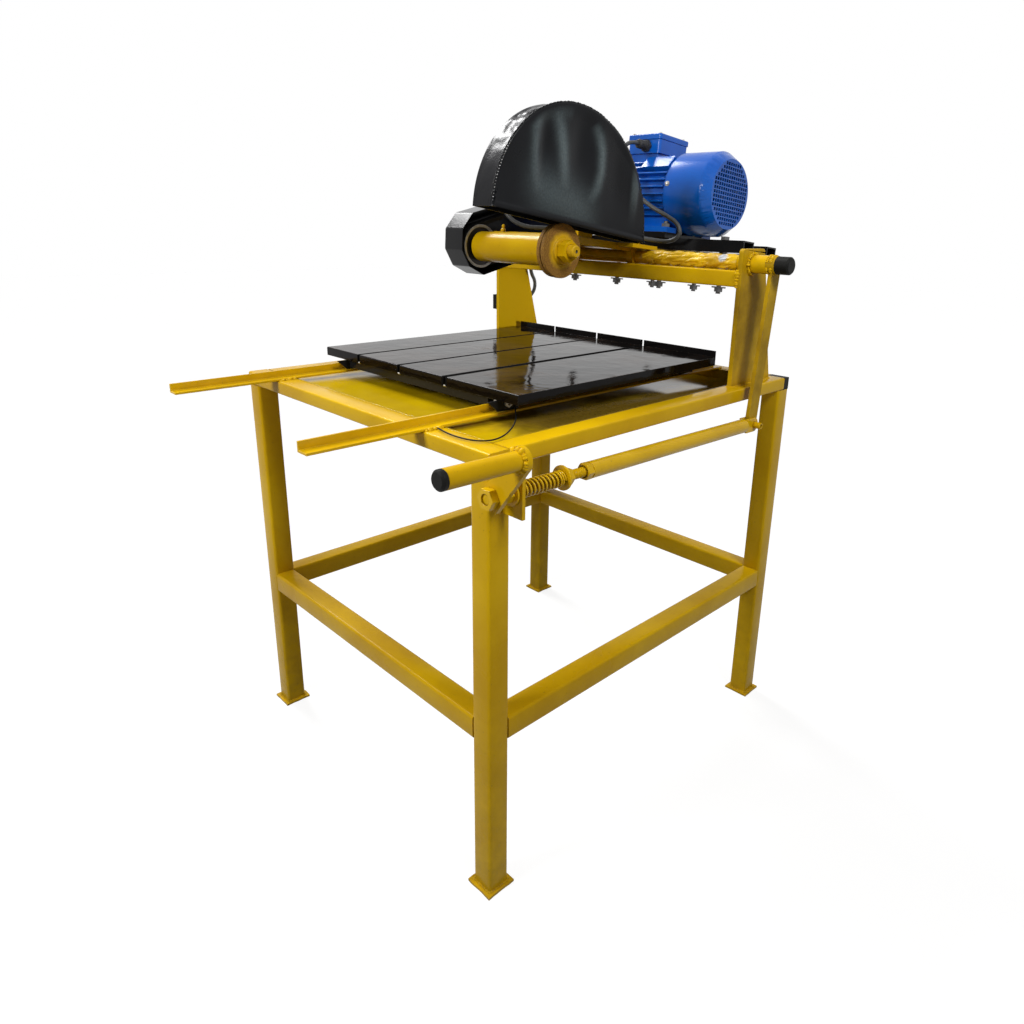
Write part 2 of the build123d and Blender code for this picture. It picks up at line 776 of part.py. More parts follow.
# Crank with its screw, nuts and washer
web_back = -WEB_STAND_OFF
web_front = web_back - WEB_THICK
spring_seat = seat + SPRING_LENGTH
nuts_start = spring_seat + WASHER_THICK
rod_nut_start = nuts_start + JAM_NUT_TALL + BARE_THREAD
rod_nut_end = rod_nut_start + ROD_NUT_TALL
screw = rod(rod_line, web_front - CRANK_NUT_TALL + SCREW_SHY, SCREW_END, SCREW_OD)
screw = chamfer(screw.edges().filter_by(GeomType.CIRCLE), SCREW_OD / 12)
add("crank_screw", screw)
thread_bore = SCREW_OD + 2 * SLIP
washers = []
for start in (-seat - WASHER_THICK, spring_seat):
    washers.append(pipe(rod_line, start, start + WASHER_THICK, WASHER_OD, thread_bore))
add("screw_washers", *washers)
screw_nuts = [
    hexagon(rod_line, web_front - CRANK_NUT_TALL, CRANK_NUT_TALL, CRANK_NUT, thread_bore),
    hexagon(rod_line, web_back, WEB_STAND_OFF - seat - WASHER_THICK - GAP, JAM_NUT, thread_bore),
    hexagon(rod_line, nuts_start, JAM_NUT_TALL, JAM_NUT, thread_bore),
]
add("screw_nuts", *screw_nuts)

crank_reach = math.hypot(CRANK_SIDE, CRANK_RISE)
crank_turn = math.degrees(math.atan2(CRANK_RISE, CRANK_SIDE))
web_shape = Pos(crank_reach / 2 - WEB_TAIL / 2, 0) * Rectangle(crank_reach + WEB_TAIL, WEB_WIDE)
web_shape += Pos(crank_reach, 0) * Circle(WEB_WIDE / 2)
web_shape -= Circle(SCREW_OD / 2 + SLIP)
web = extrude(Rot(0, 0, crank_turn) * web_shape, WEB_THICK)
# Drawn with the web's height along Y, so a quarter turn about X stands it up
stand_up = ROD * Rot(90, 0, 0)
add("crank_web", stand_up * Pos(0, 0, -web_back) * web)
grip_line = ROD * Pos(CRANK_SIDE, 0, CRANK_RISE) * ALONG_Y
grip_bore = GRIP_OD - 2 * GRIP_WALL
grip_front = web_front - GRIP_LENGTH
add("grip_tube", pipe(grip_line, grip_front, web_front, GRIP_OD, grip_bore))
grip_cap = rod(grip_line, grip_front - GRIP_CAP, grip_front, GRIP_OD)
cap_rim = grip_cap.edges().filter_by(GeomType.CIRCLE).sort_by(Axis.Y)[0]
grip_cap = chamfer(cap_rim, GRIP_CAP_BEVEL)
grip_cap += rod(grip_line, grip_front, grip_front + GRIP_CAP_DEPTH, grip_bore - 2 * SLIP)
add("grip_cap", grip_cap)

# Push rod with its nut, fork and pin
nut_bore = SCREW_OD + 2 * ROD_NUT_PLAY
tube_end = PIN_AT - FORK_ROOM
push_rod = [
    hexagon(rod_line, rod_nut_start, ROD_NUT_TALL, ROD_NUT, nut_bore),
    pipe(rod_line, rod_nut_end, tube_end, ROD_OD, ROD_OD - 2 * ROD_WALL),
]
pin_line = ROD * Pos(0, PIN_AT, 0) * ALONG_X
fork_room = LEVER_THICK / 2 + GAP
for sign in (-1, 1):
    x = sorted((sign * fork_room, sign * (fork_room + FORK_THICK)))
    cheek = block(x, (tube_end, PIN_AT), (-FORK_WIDE / 2, FORK_WIDE / 2))
    cheek += Pos(sum(x) / 2, PIN_AT, 0) * ALONG_X * Cylinder(FORK_WIDE / 2, FORK_THICK)
    cheek = ROD * cheek
    push_rod.append(cheek - rod(pin_line, x[0] - 1, x[1] + 1, PIN_OD + 2 * SLIP))
add("push_rod", *push_rod)
add("rod_pin", pipe(pin_line, -PIN_INNER, PIN_OUTER, PIN_OD, PIN_BORE))

# Axle with its end caps, film wrap and lever
axle_end = CAP_START + CAP_LENGTH - CAP_WALL
add("pivot_axle", pipe(axle_line, -axle_end, axle_end, AXLE_OD, AXLE_OD - 2 * AXLE_WALL))
caps = []
for sign in (-1, 1):
    x = sorted((sign * CAP_START, sign * (CAP_START + CAP_LENGTH)))
    cap = rod(axle_line, x[0], x[1], CAP_OD)
    outer_rim = cap.edges().filter_by(GeomType.CIRCLE).sort_by(Axis.X)[-1 if sign > 0 else 0]
    cap = chamfer(outer_rim, CAP_BEVEL)
    bore = sorted((sign * (CAP_START - 1), sign * (axle_end + SLIP)))
    caps.append(cap - rod(axle_line, bore[0], bore[1], AXLE_OD + 2 * SLIP))
add("axle_caps", *caps)
add("axle_wrap", pipe(axle_line, WRAP_START, WRAP_END, WRAP_OD, AXLE_OD + 2 * SLIP))

lever_run = Vector(AXLE_Y + LEVER_TOP_BACK - PIN_Y, AXLE_Z - PIN_Z)
lever_lean = math.degrees(math.atan2(lever_run.X, lever_run.Y))
lever = block((-LEVER_THICK / 2, LEVER_THICK / 2), (-LEVER_WIDE / 2, LEVER_WIDE / 2), (0, lever_run.length))
lever += ALONG_X * Cylinder(LEVER_WIDE / 2, LEVER_THICK)
lever = Pos(ROD_X, PIN_Y, PIN_Z) * Rot(-lever_lean, 0, 0) * lever
lever += rod(axle_line, BOSS_END + GAP, CAP_START, BOSS_OD)
lever -= rod(axle_line, BOSS_END, CAP_START + 1, AXLE_OD + 2 * SLIP)
lever = lever.solids().sort_by(SortBy.VOLUME)[-1]
lever -= Pos(ROD_X, PIN_Y, PIN_Z) * rod(ALONG_X, -LEVER_THICK, LEVER_THICK, PIN_OD + 2 * RUN)
add("lever_arm", lever)

# Head plate with turned-down sides, and the lugs that clasp the axle
plate = block((PLATE_LEFT, PLATE_RIGHT), (PLATE_FRONT, PLATE_REAR), (PLATE_TOP - PLATE_FLANGE, PLATE_TOP))
plate -= block(
    (PLATE_LEFT + PLATE_SIDE, PLATE_RIGHT - PLATE_SIDE),
    (PLATE_FRONT - 1, PLATE_REAR + 1),
    (PLATE_TOP - PLATE_FLANGE - 1, PLATE_UNDER),
)
notch_y = (-LUG_WIDE / 2 - GAP, LUG_WIDE / 2 + GAP)
plate -= block((PLATE_LEFT - 1, PLATE_RIGHT + 1), notch_y, (PLATE_TOP - PLATE_FLANGE - 1, PLATE_UNDER))
plate = HEAD * plate
plate -= rod(SPINDLE * ALONG_X, PLATE_LEFT - 1, PLATE_RIGHT + 1, PIPE_OD + 2 * SLIP)
lugs = []
for x in (LUG_LEFT, LUG_RIGHT):
    lug = block((x, x + LUG_THICK), (-LUG_WIDE / 2, LUG_WIDE / 2), (0, PLATE_UNDER))
    lug += Pos(x + LUG_THICK / 2, 0, 0) * ALONG_X * Cylinder(LUG_WIDE / 2, LUG_THICK)
    lug &= block((x - 1, x + LUG_THICK + 1), (-LUG_WIDE, LUG_WIDE), (-LUG_WIDE, PLATE_UNDER))
    lugs.append(HEAD * lug - rod(axle_line, x - 1, x + LUG_THICK + 1, AXLE_OD + 2 * SLIP))

# Spindle housing, bearings and grease nipple
spindle_line = SPINDLE * ALONG_X
pipe_bore = PIPE_OD - 2 * PIPE_WALL
add("spindle_housing", pipe(spindle_line, PIPE_LEFT, PIPE_RIGHT, PIPE_OD, pipe_bore))
bearing_starts = (PIPE_LEFT + BEARING_INSET, PIPE_RIGHT - BEARING_INSET - BEARING_WIDE)
bearings = []
for start in bearing_starts:
    bearings.append(pipe(spindle_line, start, start + BEARING_WIDE, BEARING_OD, SHAFT_OD + 2 * RUN))
add("spindle_bearings", *bearings)
nipple_foot = PIPE_OD / 2 + SLIP
nipple_profile = Polyline(
    (0, nipple_foot),
    (NIPPLE_OD / 2, nipple_foot),
    (NIPPLE_OD / 2, nipple_foot + NIPPLE_TALL / 3),
    (NIPPLE_OD / 4, nipple_foot + NIPPLE_TALL / 2),
    (NIPPLE_OD / 3, nipple_foot + NIPPLE_TALL * 0.8),
    (NIPPLE_OD / 6, nipple_foot + NIPPLE_TALL),
    (0, nipple_foot + NIPPLE_TALL),
    close=True,
)
nipple = revolve(Plane.XZ * make_face(nipple_profile), Axis.Z)
add("grease_nipple", SPINDLE * Pos(NIPPLE_X, 0, 0) * nipple)

# Spindle shaft with its inner flange, outer flange and nut
inner_left = PIPE_RIGHT + FLANGE_STAND_OFF
outer_face = BLADE_FACE + OUTER_FLANGE_WIDE
hub_face = outer_face + OUTER_HUB_WIDE
nut_face = hub_face + SPINDLE_NUT_TALL
shaft_profile = [
    (SHAFT_LEFT, 0),
    (SHAFT_LEFT, SHAFT_OD / 2),
    (inner_left, SHAFT_OD / 2),
    (inner_left, INNER_FLANGE_OD / 2),
    (inner_left + INNER_FLANGE_WIDE, INNER_FLANGE_OD / 2),
    (inner_left + INNER_FLANGE_WIDE, INNER_HUB_OD / 2),
    (BLADE_FACE, INNER_HUB_OD / 2),
    (BLADE_FACE, SHAFT_OD / 2),
    (hub_face, SHAFT_OD / 2),
    (hub_face, THREAD_OD / 2),
    (nut_face + GAP, THREAD_OD / 2),
    (nut_face + GAP, TIP_OD / 2),
    (SHAFT_RIGHT - TIP_BEVEL, TIP_OD / 2),
    (SHAFT_RIGHT, TIP_OD / 2 - TIP_BEVEL),
    (SHAFT_RIGHT, THREAD_OD / 8),
    (SHAFT_RIGHT - THREAD_OD / 8, 0),
]
add("spindle_shaft", SPINDLE * turned(shaft_profile))
flange_bore = SHAFT_OD / 2 + SLIP
outer_profile = [
    (BLADE_FACE, flange_bore),
    (BLADE_FACE, OUTER_FLANGE_OD / 2),
    (outer_face, OUTER_FLANGE_OD / 2),
    (outer_face, OUTER_HUB_OD / 2),
    (hub_face, OUTER_HUB_OD / 2 - OUTER_HUB_BEVEL),
    (hub_face, flange_bore),
]
add("outer_flange", SPINDLE * turned(outer_profile))
add("spindle_nut", hexagon(spindle_line, hub_face, SPINDLE_NUT_TALL, SPINDLE_NUT, THREAD_OD + 2 * SLIP))

# Pulleys and belts
pulley_wide = 2 * BELT_EDGE + (BELT_COUNT - 1) * BELT_SPACING
pulley_left = PULLEY_RIGHT - pulley_wide
belt_places = [PULLEY_RIGHT - BELT_EDGE - number * BELT_SPACING for number in range(BELT_COUNT)]


def pulley(outer, bore):
    """A vee pulley turned about X, with a groove for each belt and a hollowed right face."""
    rim = outer / 2
    half_top = BELT_WIDE / 2 + GAP
    half_low = BELT_NARROW / 2
    profile = [(pulley_left, bore / 2), (pulley_left, rim)]
    for place in reversed(belt_places):
        profile += [(place - half_top, rim), (place - half_low, rim - GROOVE_DEPTH)]
        profile += [(place + half_low, rim - GROOVE_DEPTH), (place + half_top, rim)]
    recess = PULLEY_RIGHT - PULLEY_RECESS
    profile += [(PULLEY_RIGHT, rim), (PULLEY_RIGHT, rim - PULLEY_RIM), (recess, rim - PULLEY_RIM)]
    profile += [(recess, PULLEY_HUB_R), (PULLEY_RIGHT, PULLEY_HUB_R), (PULLEY_RIGHT, bore / 2)]
    return turned(profile)


add("driven_pulley", SPINDLE * pulley(DRIVEN_OD, SHAFT_OD + 2 * SLIP))
add("drive_pulley", MOTOR * pulley(DRIVE_OD, MOTOR_SHAFT_OD + 2 * SLIP))
spindle_at = (SPINDLE_Y, SPINDLE_Z)
motor_at = (MOTOR_Y, MOTOR_Z)
belts = []
for place in belt_places:
    track = loop(spindle_at, DRIVEN_OD / 2 + BELT_PROUD, motor_at, DRIVE_OD / 2 + BELT_PROUD)
    path = Plane.YZ.offset(place) * Wire(track)
    start = path @ 0
    section_plane = Plane(origin=start, x_dir=(1, 0, 0), z_dir=path % 0)
    section = Polyline(
        (-BELT_WIDE / 2, 0),
        (BELT_WIDE / 2, 0),
        (BELT_NARROW / 2, BELT_TALL),
        (-BELT_NARROW / 2, BELT_TALL),
        close=True,
    )
    belts.append(HEAD * sweep(section_plane * make_face(section), path=path))
add("drive_belts", *belts)

# Belt cover, closed on the left, with the flat arm that carries it
cover_at = Vector(SPINDLE_Y + COVER_FORWARD, SPINDLE_Z + COVER_LIFT)


def cover_outline(inset):
    """The cover's side view: a nose bent in flats in front, a round end at the motor."""
    radius = COVER_R - inset
    along = (Vector(motor_at) - cover_at).normalized()
    slope = math.degrees(math.atan2(along.Y, along.X))
    facings = [slope + 90, *COVER_FLATS, slope + 270]
    upper = Vector(motor_at) + Vector(-along.Y, along.X) * radius
    lower = Vector(motor_at) - Vector(-along.Y, along.X) * radius
    points = [upper]
    for first, second in zip(facings, facings[1:]):
        middle = math.radians((first + second) / 2)
        reach = radius / math.cos(math.radians((second - first) / 2))
        points.append(cover_at + Vector(math.cos(middle), math.sin(middle)) * reach)
    points.append(lower)
    nose = FilletPolyline(*points, radius=COVER_BEND - inset)
    tail = ThreePointArc(lower, Vector(motor_at) + along * radius, upper)
    return Wire([*nose.edges(), tail])


cover = side_plate((COVER_CLOSED_SIDE, COVER_OPEN_SIDE), cover_outline(0))
inner_x = (COVER_CLOSED_SIDE + COVER_SHEET, COVER_OPEN_SIDE + 1)
cover -= side_plate(inner_x, cover_outline(COVER_SHEET))
add("belt_cover", HEAD * cover)
arm_x = (COVER_CLOSED_SIDE + COVER_SHEET, PLATE_LEFT)
arm_y = (COVER_ARM_FRONT, COVER_ARM_FRONT + COVER_ARM_WIDE)
cover_arm = HEAD * block(arm_x, arm_y, (PLATE_UNDER, PLATE_TOP))

# Blade guard, open below, with the lugs that hold it


def guard_outline(inset):
    """The guard's side view, drawn in by one inset all round but open at the bottom."""
    front_r = GUARD_FRONT_R - inset
    rear_r = GUARD_REAR_R - inset
    top = GUARD_TOP - inset
    front = (GUARD_CREST - front_r, top - front_r)
    rear = (GUARD_CREST + rear_r, top - rear_r)
    crest = (GUARD_CREST, top)
    half = math.sqrt(0.5)
    front_mid = (GUARD_CREST - front_r * half, top - front_r + front_r * half)
    rear_mid = (GUARD_CREST + rear_r * half, top - rear_r + rear_r * half)
    low = -GUARD_TOP
    edges = [ThreePointArc(front, front_mid, crest), ThreePointArc(crest, rear_mid, rear)]
    edges += [Line(rear, (rear[0], low)), Line((rear[0], low), (front[0], low)), Line((front[0], low), front)]
    return Wire(edges)


guard = side_plate((GUARD_LEFT, GUARD_RIGHT), guard_outline(0))
guard -= side_plate((GUARD_LEFT + GUARD_SHEET, GUARD_RIGHT - GUARD_SHEET), guard_outline(GUARD_SHEET))
guard_front = GUARD_CREST - GUARD_FRONT_R
guard_rear = GUARD_CREST + GUARD_REAR_R
below_guard = Polyline(
    (guard_front - 1, GUARD_FRONT_LOW),
    (guard_rear + 1, GUARD_REAR_LOW),
    (guard_rear + 1, -2 * GUARD_TOP),
    (guard_front - 1, -2 * GUARD_TOP),
    close=True,
)
guard -= side_plate((GUARD_LEFT - 1, GUARD_RIGHT + 1), below_guard)

lug_x = (GUARD_RIGHT - 2 * REAR_LUG_WIDE, GUARD_RIGHT - REAR_LUG_WIDE)
lug_y = (guard_rear, guard_rear + REAR_LUG_THICK)
lug_z = (PLATE_TOP, PLATE_TOP + REAR_LUG_TALL)
guard_plate_span = (GUARD_PLATE_FRONT, GUARD_PLATE_REAR)
rear_support = block((PLATE_RIGHT, GUARD_RIGHT), guard_plate_span, (PLATE_UNDER, PLATE_TOP))
rear_support += block(lug_x, lug_y, lug_z)
tab_x = (GUARD_LEFT - TAB_THICK, GUARD_LEFT)
tab = block(tab_x, (TAB_FRONT, TAB_FRONT + TAB_WIDE), (PLATE_TOP, PLATE_TOP + TAB_TALL))
tab_bolt_z = PLATE_TOP + TAB_TALL * 0.7
guard_bolts = []
for y in (TAB_FRONT + TAB_WIDE / 4, TAB_FRONT + TAB_WIDE * 3 / 4):
    line = Pos(0, y, tab_bolt_z) * ALONG_X
    shank = rod(line, tab_x[0], GUARD_LEFT + GUARD_SHEET, GUARD_BOLT)
    bolt = shank + hexagon(line, tab_x[0] - BOLT_HEAD_TALL, BOLT_HEAD_TALL, GUARD_BOLT_HEAD, 1)
    bolt += hexagon(line, GUARD_LEFT + GUARD_SHEET, BOLT_HEAD_TALL, GUARD_BOLT_HEAD, 1)
    bore = rod(line, tab_x[0] - 1, GUARD_LEFT + GUARD_SHEET + 1, GUARD_BOLT + 2 * SLIP)
    guard_bolts.append(HEAD * bolt)
    guard -= bore
    tab -= bore
lug_line = Pos(sum(lug_x) / 2, 0, PLATE_TOP + REAR_LUG_TALL * 0.6) * ALONG_Y
lug_nut = guard_rear - GUARD_SHEET - LUG_BOLT_SLACK
lug_bolt = rod(lug_line, lug_nut - BOLT_HEAD_TALL, lug_y[1], GUARD_BOLT)
lug_bolt += hexagon(lug_line, lug_y[1], BOLT_HEAD_TALL, GUARD_BOLT_HEAD, 1)
lug_bolt += hexagon(lug_line, lug_nut - BOLT_HEAD_TALL, BOLT_HEAD_TALL, GUARD_BOLT_HEAD, 1)
lug_bore = rod(lug_line, lug_nut, lug_y[1] + 1, GUARD_BOLT + 2 * SLIP)
guard_bolts.append(HEAD * lug_bolt)
guard -= lug_bore
rear_support -= lug_bore
add("blade_guard", HEAD * guard)
add("head_brackets", cover_arm, HEAD * rear_support, HEAD * tab)
add("guard_bolts", *guard_bolts)

# Motor base: two slide bars, a plate and long studs through the motor's feet
bars = []
bar_z = (PLATE_TOP, PLATE_TOP + BAR_TALL)
for y, end in zip((FRONT_HOLES, REAR_HOLES), BAR_RIGHT_ENDS):
    bars.append(box_tube((BAR_LEFT, end), (y - BAR_WIDE / 2, y + BAR_WIDE / 2), bar_z, BAR_WALL, 0))
base_y = (FRONT_HOLES - BAR_WIDE / 2 - BASE_OVERHANG, REAR_HOLES + BAR_WIDE / 2 + BASE_OVERHANG)
base = block((BASE_LEFT, BASE_RIGHT), base_y, (bar_z[1], BASE_TOP))
stud_places = []
for y in (FRONT_HOLES, REAR_HOLES):
    for x in (FOOT_HOLE_LEFT, FOOT_HOLE_RIGHT):
        stud_places.append((x, y, BASE_TOP + FOOT_TALL, PLATE_UNDER))
for x in BAR_STUDS:
    stud_places.append((x, FRONT_HOLES, bar_z[1], PLATE_TOP))
studs = []
stud_holes = []
for x, y, top, under in stud_places:
    line = Pos(x, y, 0)
    stud = rod(line, STUD_LOW, top + STUD_HEX_TALL + STUD_ABOVE * (top > bar_z[1]), STUD_OD)
    stud += hexagon(line, top, STUD_HEX_TALL, STUD_HEX, 1)
    stud += hexagon(line, under - STUD_HEX_TALL, STUD_HEX_TALL, STUD_HEX, 1)
    stud += hexagon(line, STUD_LOW + STUD_END, STUD_HEX_TALL, STUD_HEX, 1)
    washer = STUD_LOW + STUD_END + STUD_HEX_TALL
    stud += rod(line, washer, washer + STUD_WASHER, STUD_WASHER_OD)
    studs.append(HEAD * stud)
    stud_holes.append(rod(line, STUD_LOW, top + 1, STUD_OD + 2 * SLIP))
bars = [HEAD * (bar - stud_holes) for bar in bars]
add("slide_bars", *bars)
add("motor_base", HEAD * (base - stud_holes))
add("motor_studs", *studs)
add("head_plate", plate - [HEAD * hole for hole in stud_holes], *lugs)

# Motor frame with fins, feet and drive-end shield
spigot_r = FAN_COVER_R - FAN_COVER_SHEET - SLIP
fins_end = FAN_COVER_LEFT - FAN_COVER_LIP
frame_profile = [
    (SHIELD_FACE, MOTOR_SHAFT_OD / 2 + RUN),
    (SHIELD_FACE, SHIELD_BOSS_R),
    (SHIELD_FACE + SHIELD_BEVEL, SHIELD_BOSS_R + SHIELD_CHAMFER),
    (SHIELD_FACE + SHIELD_BEVEL, STATOR_R - SHIELD_STEP),
    (STATOR_LEFT - SHIELD_RIM, FIN_R - 2 * SHIELD_CHAMFER),
    (STATOR_LEFT, FIN_R - SHIELD_CHAMFER),
    (STATOR_LEFT, STATOR_R),
    (fins_end, STATOR_R),
    (fins_end, spigot_r),
    (STATOR_RIGHT, spigot_r),
    (STATOR_RIGHT, MOTOR_SHAFT_OD / 2 + RUN),
]
motor = turned(frame_profile)
fin_length = fins_end - STATOR_LEFT
fin_middle = (fins_end + STATOR_LEFT) / 2
fins = []
for step in range(360 // FIN_STEP):
    angle = step * FIN_STEP + FIN_STEP / 2
    from_top = min(angle, 360 - angle)
    if FIN_FREE_TOP < from_top < 180 - FIN_FREE_BASE:
        fin = Box(fin_length, FIN_THICK, FIN_R - STATOR_R + FIN_ROOT)
        fins.append(Rot(angle, 0, 0) * Pos(fin_middle, 0, (FIN_R + STATOR_R - FIN_ROOT) / 2) * fin)
motor += fins
pad = block((PAD_LEFT, fins_end), (-PAD_WIDE / 2, PAD_WIDE / 2), (STATOR_R - FIN_ROOT, PAD_R))
motor += Rot(PAD_TURN, 0, 0) * pad
foot_low = BASE_TOP - MOTOR_Z
foot_inside = FOOT_SPAN / 2 - FOOT_DEEP
for sign in (-1, 1):
    y = sorted((sign * FOOT_SPAN / 2, sign * foot_inside))
    web_y = sorted((sign * foot_inside, sign * (foot_inside + FOOT_WEB)))
    motor += block((FOOT_LEFT, FOOT_RIGHT), y, (foot_low, foot_low + FOOT_TALL))
    motor += block((FOOT_LEFT, fins_end), web_y, (foot_low, -STATOR_R / 2))
pedestal_y = (-BOX_DEEP / 2 + LID_ROUND, BOX_DEEP / 2 - LID_ROUND)
motor += block((BOX_LEFT + LID_ROUND, BOX_RIGHT - LID_ROUND), pedestal_y, (STATOR_R / 2, BOX_BASE + BOX_SEAT))
motor -= rod(ALONG_X, SHIELD_FACE - 1, STATOR_RIGHT + 1, MOTOR_SHAFT_OD + 2 * RUN)
holes_in_motor = [Pos(0, -MOTOR_Y, -MOTOR_Z) * hole for hole in stud_holes]
add("motor_body", MOTOR * (motor - holes_in_motor))

shaft_end = FAN_LEFT + FAN_WIDE + FAN_NUT
add("motor_shaft", rod(MOTOR * ALONG_X, SHAFT_LEFT, shaft_end, MOTOR_SHAFT_OD))
fan = pipe(ALONG_X, FAN_LEFT, FAN_LEFT + FAN_WIDE, 2 * FAN_HUB_R, MOTOR_SHAFT_OD + 2 * SLIP)
blades = []
for number in range(FAN_BLADES):
    blade = Box(FAN_WIDE, FAN_BLADE, FAN_R - FAN_HUB_R + FAN_BLADE_ROOT)
    place = Pos(FAN_LEFT + FAN_WIDE / 2, 0, (FAN_R + FAN_HUB_R - FAN_BLADE_ROOT) / 2)
    blades.append(Rot(number * 360 / FAN_BLADES, 0, 0) * place * blade)
add("cooling_fan", MOTOR * (fan + blades))

# Fan cover with a pierced face
slope = FAN_COVER_SHEET * 0.7
cover_profile = [
    (FAN_COVER_LEFT, FAN_COVER_R),
    (FAN_COVER_BEND, FAN_COVER_R),
    (FAN_COVER_FACE, FAN_FACE_R),
    (FAN_COVER_FACE, 0),
    (FAN_COVER_FACE - FAN_COVER_SHEET, 0),
    (FAN_COVER_FACE - FAN_COVER_SHEET, FAN_FACE_R - slope),
    (FAN_COVER_BEND - slope / 2, FAN_COVER_R - FAN_COVER_SHEET),
    (FAN_COVER_LEFT, FAN_COVER_R - FAN_COVER_SHEET),
]
holes = []
columns = int(GRILLE_R // GRILLE_PITCH)
for column in range(-columns, columns + 1):
    for row in range(-columns, columns + 1):
        y = column * GRILLE_PITCH
        z = row * GRILLE_PITCH
        if math.hypot(y, z) < GRILLE_R:
            holes.append(Pos(FAN_COVER_FACE, y, z) * Box(4 * FAN_COVER_SHEET, GRILLE_HOLE, GRILLE_HOLE))
add("fan_cover", MOTOR * (turned(cover_profile) - holes))

# Terminal box, lid and cable gland
box_y = (-BOX_DEEP / 2, BOX_DEEP / 2)
terminal_box = block((BOX_LEFT, BOX_RIGHT), box_y, (BOX_BASE + BOX_SEAT, BOX_BASE + BOX_TALL))
terminal_box = fillet(terminal_box.edges().filter_by(Axis.Z), LID_ROUND)
lid = block(
    (BOX_LEFT - LID_LAP, BOX_RIGHT + LID_LAP),
    (box_y[0] - LID_LAP, box_y[1] + LID_LAP),
    (BOX_BASE + BOX_TALL, BOX_BASE + BOX_TALL + LID_TALL),
)
lid = fillet(lid.edges().filter_by(Axis.Z), LID_ROUND)
lid = fillet(lid.edges().group_by(Axis.Z)[-1], LID_ROUND / 2)
add("terminal_box", MOTOR * terminal_box)
add("terminal_lid", MOTOR * lid)
gland_line = MOTOR * Pos(GLAND_X, box_y[0], BOX_BASE + BOX_TALL - GLAND_DROP) * Rot(90, 0, 0)
gland = hexagon(gland_line, 0, GLAND_HEX_TALL, GLAND_HEX, 1)
sleeve = [(0, 0), (GLAND_OD / 2, 0)]
for number in range(GLAND_RIBS):
    low = number * GLAND_RIB
    sleeve += [(GLAND_OD / 2, low + GLAND_RIB * 0.6)]
    sleeve += [(GLAND_OD / 2 - GLAND_WAIST, low + GLAND_RIB * 0.8)]
    sleeve += [(GLAND_OD / 2 - GLAND_WAIST, low + GLAND_RIB)]
sleeve.append((0, GLAND_RIBS * GLAND_RIB))
ribbed = revolve(Plane.XZ * make_face(Polyline(*sleeve, close=True)), Axis.Z)
gland += gland_line * Pos(0, 0, GLAND_HEX_TALL) * ribbed
add("cable_gland", gland)
gland_end = gland_line * Pos(0, 0, GLAND_HEX_TALL + GLAND_RIBS * GLAND_RIB)
print("gland end", [round(value, 2) for value in gland_end.position])

# Cables and switch
add("motor_cable", tube_along(CABLE_ROUTE, CABLE_OD, "motor_cable"))
add("switch_cable", tube_along(SWITCH_ROUTE, CABLE_OD, "switch_cable"))
cords += ["motor_cable", "switch_cable"]
switch_x = (-UPRIGHT_OUT - SWITCH_OUT, -UPRIGHT_OUT)
switch_z = (SWITCH_LOW, SWITCH_LOW + SWITCH_TALL)
switch_box = block(switch_x, (SWITCH_FRONT, SWITCH_REAR), switch_z)
switch_box = fillet(switch_box.edges().group_by(Axis.X)[0], SWITCH_ROUND)
rocker_y = (SWITCH_FRONT + SWITCH_REAR) / 2
rocker_z = SWITCH_LOW + SWITCH_TALL / 2
well = Box(2 * ROCKER_DEEP, ROCKER_LONG + 2 * ROCKER_CLEAR, ROCKER_TALL + 2 * ROCKER_CLEAR)
add("switch_box", switch_box - Pos(switch_x[0], rocker_y, rocker_z) * well)
rocker_outline = Polyline(
    (-ROCKER_PROUD, -ROCKER_TALL / 2),
    (-ROCKER_PROUD * 0.4, 0),
    (-ROCKER_PROUD, ROCKER_TALL / 2),
    (ROCKER_DEEP - ROCKER_HEEL, ROCKER_TALL / 2 - ROCKER_CLEAR),
    (ROCKER_DEEP - GAP, 0),
    (ROCKER_DEEP - ROCKER_HEEL, ROCKER_CLEAR - ROCKER_TALL / 2),
    close=True,
)
rocker = extrude(Plane.XZ * make_face(rocker_outline), ROCKER_LONG / 2, both=True)
add("switch_rocker", Pos(switch_x[0], rocker_y, rocker_z) * rocker)

# The origin is the middle of the object's outline, on the floor
outline = [Compound(solids).bounding_box() for name, solids in nodes.items() if name not in cords]
low = [min(getattr(box.min, axis) for box in outline) for axis in "XYZ"]
high = [max(getattr(box.max, axis) for box in outline) for axis in "XYZ"]
to_origin = Pos(-(low[0] + high[0]) / 2, -(low[1] + high[1]) / 2, -low[2])
print("outline", [round(value, 3) for value in low], [round(value, 3) for value in high])
print("shift to the origin", [round(value, 4) for value in to_origin.position])

os.makedirs("parts", exist_ok=True)
for name, solids in nodes.items():
    placed = [to_origin * solid for solid in solids]
    shape = placed[0] if len(placed) == 1 else Compound(placed)
    export_step(shape, "parts/" + name + ".step")
print(len(nodes), "pieces by name")
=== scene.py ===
import json
import math
import bmesh
import bpy
from mathutils import Matrix, Vector, noise


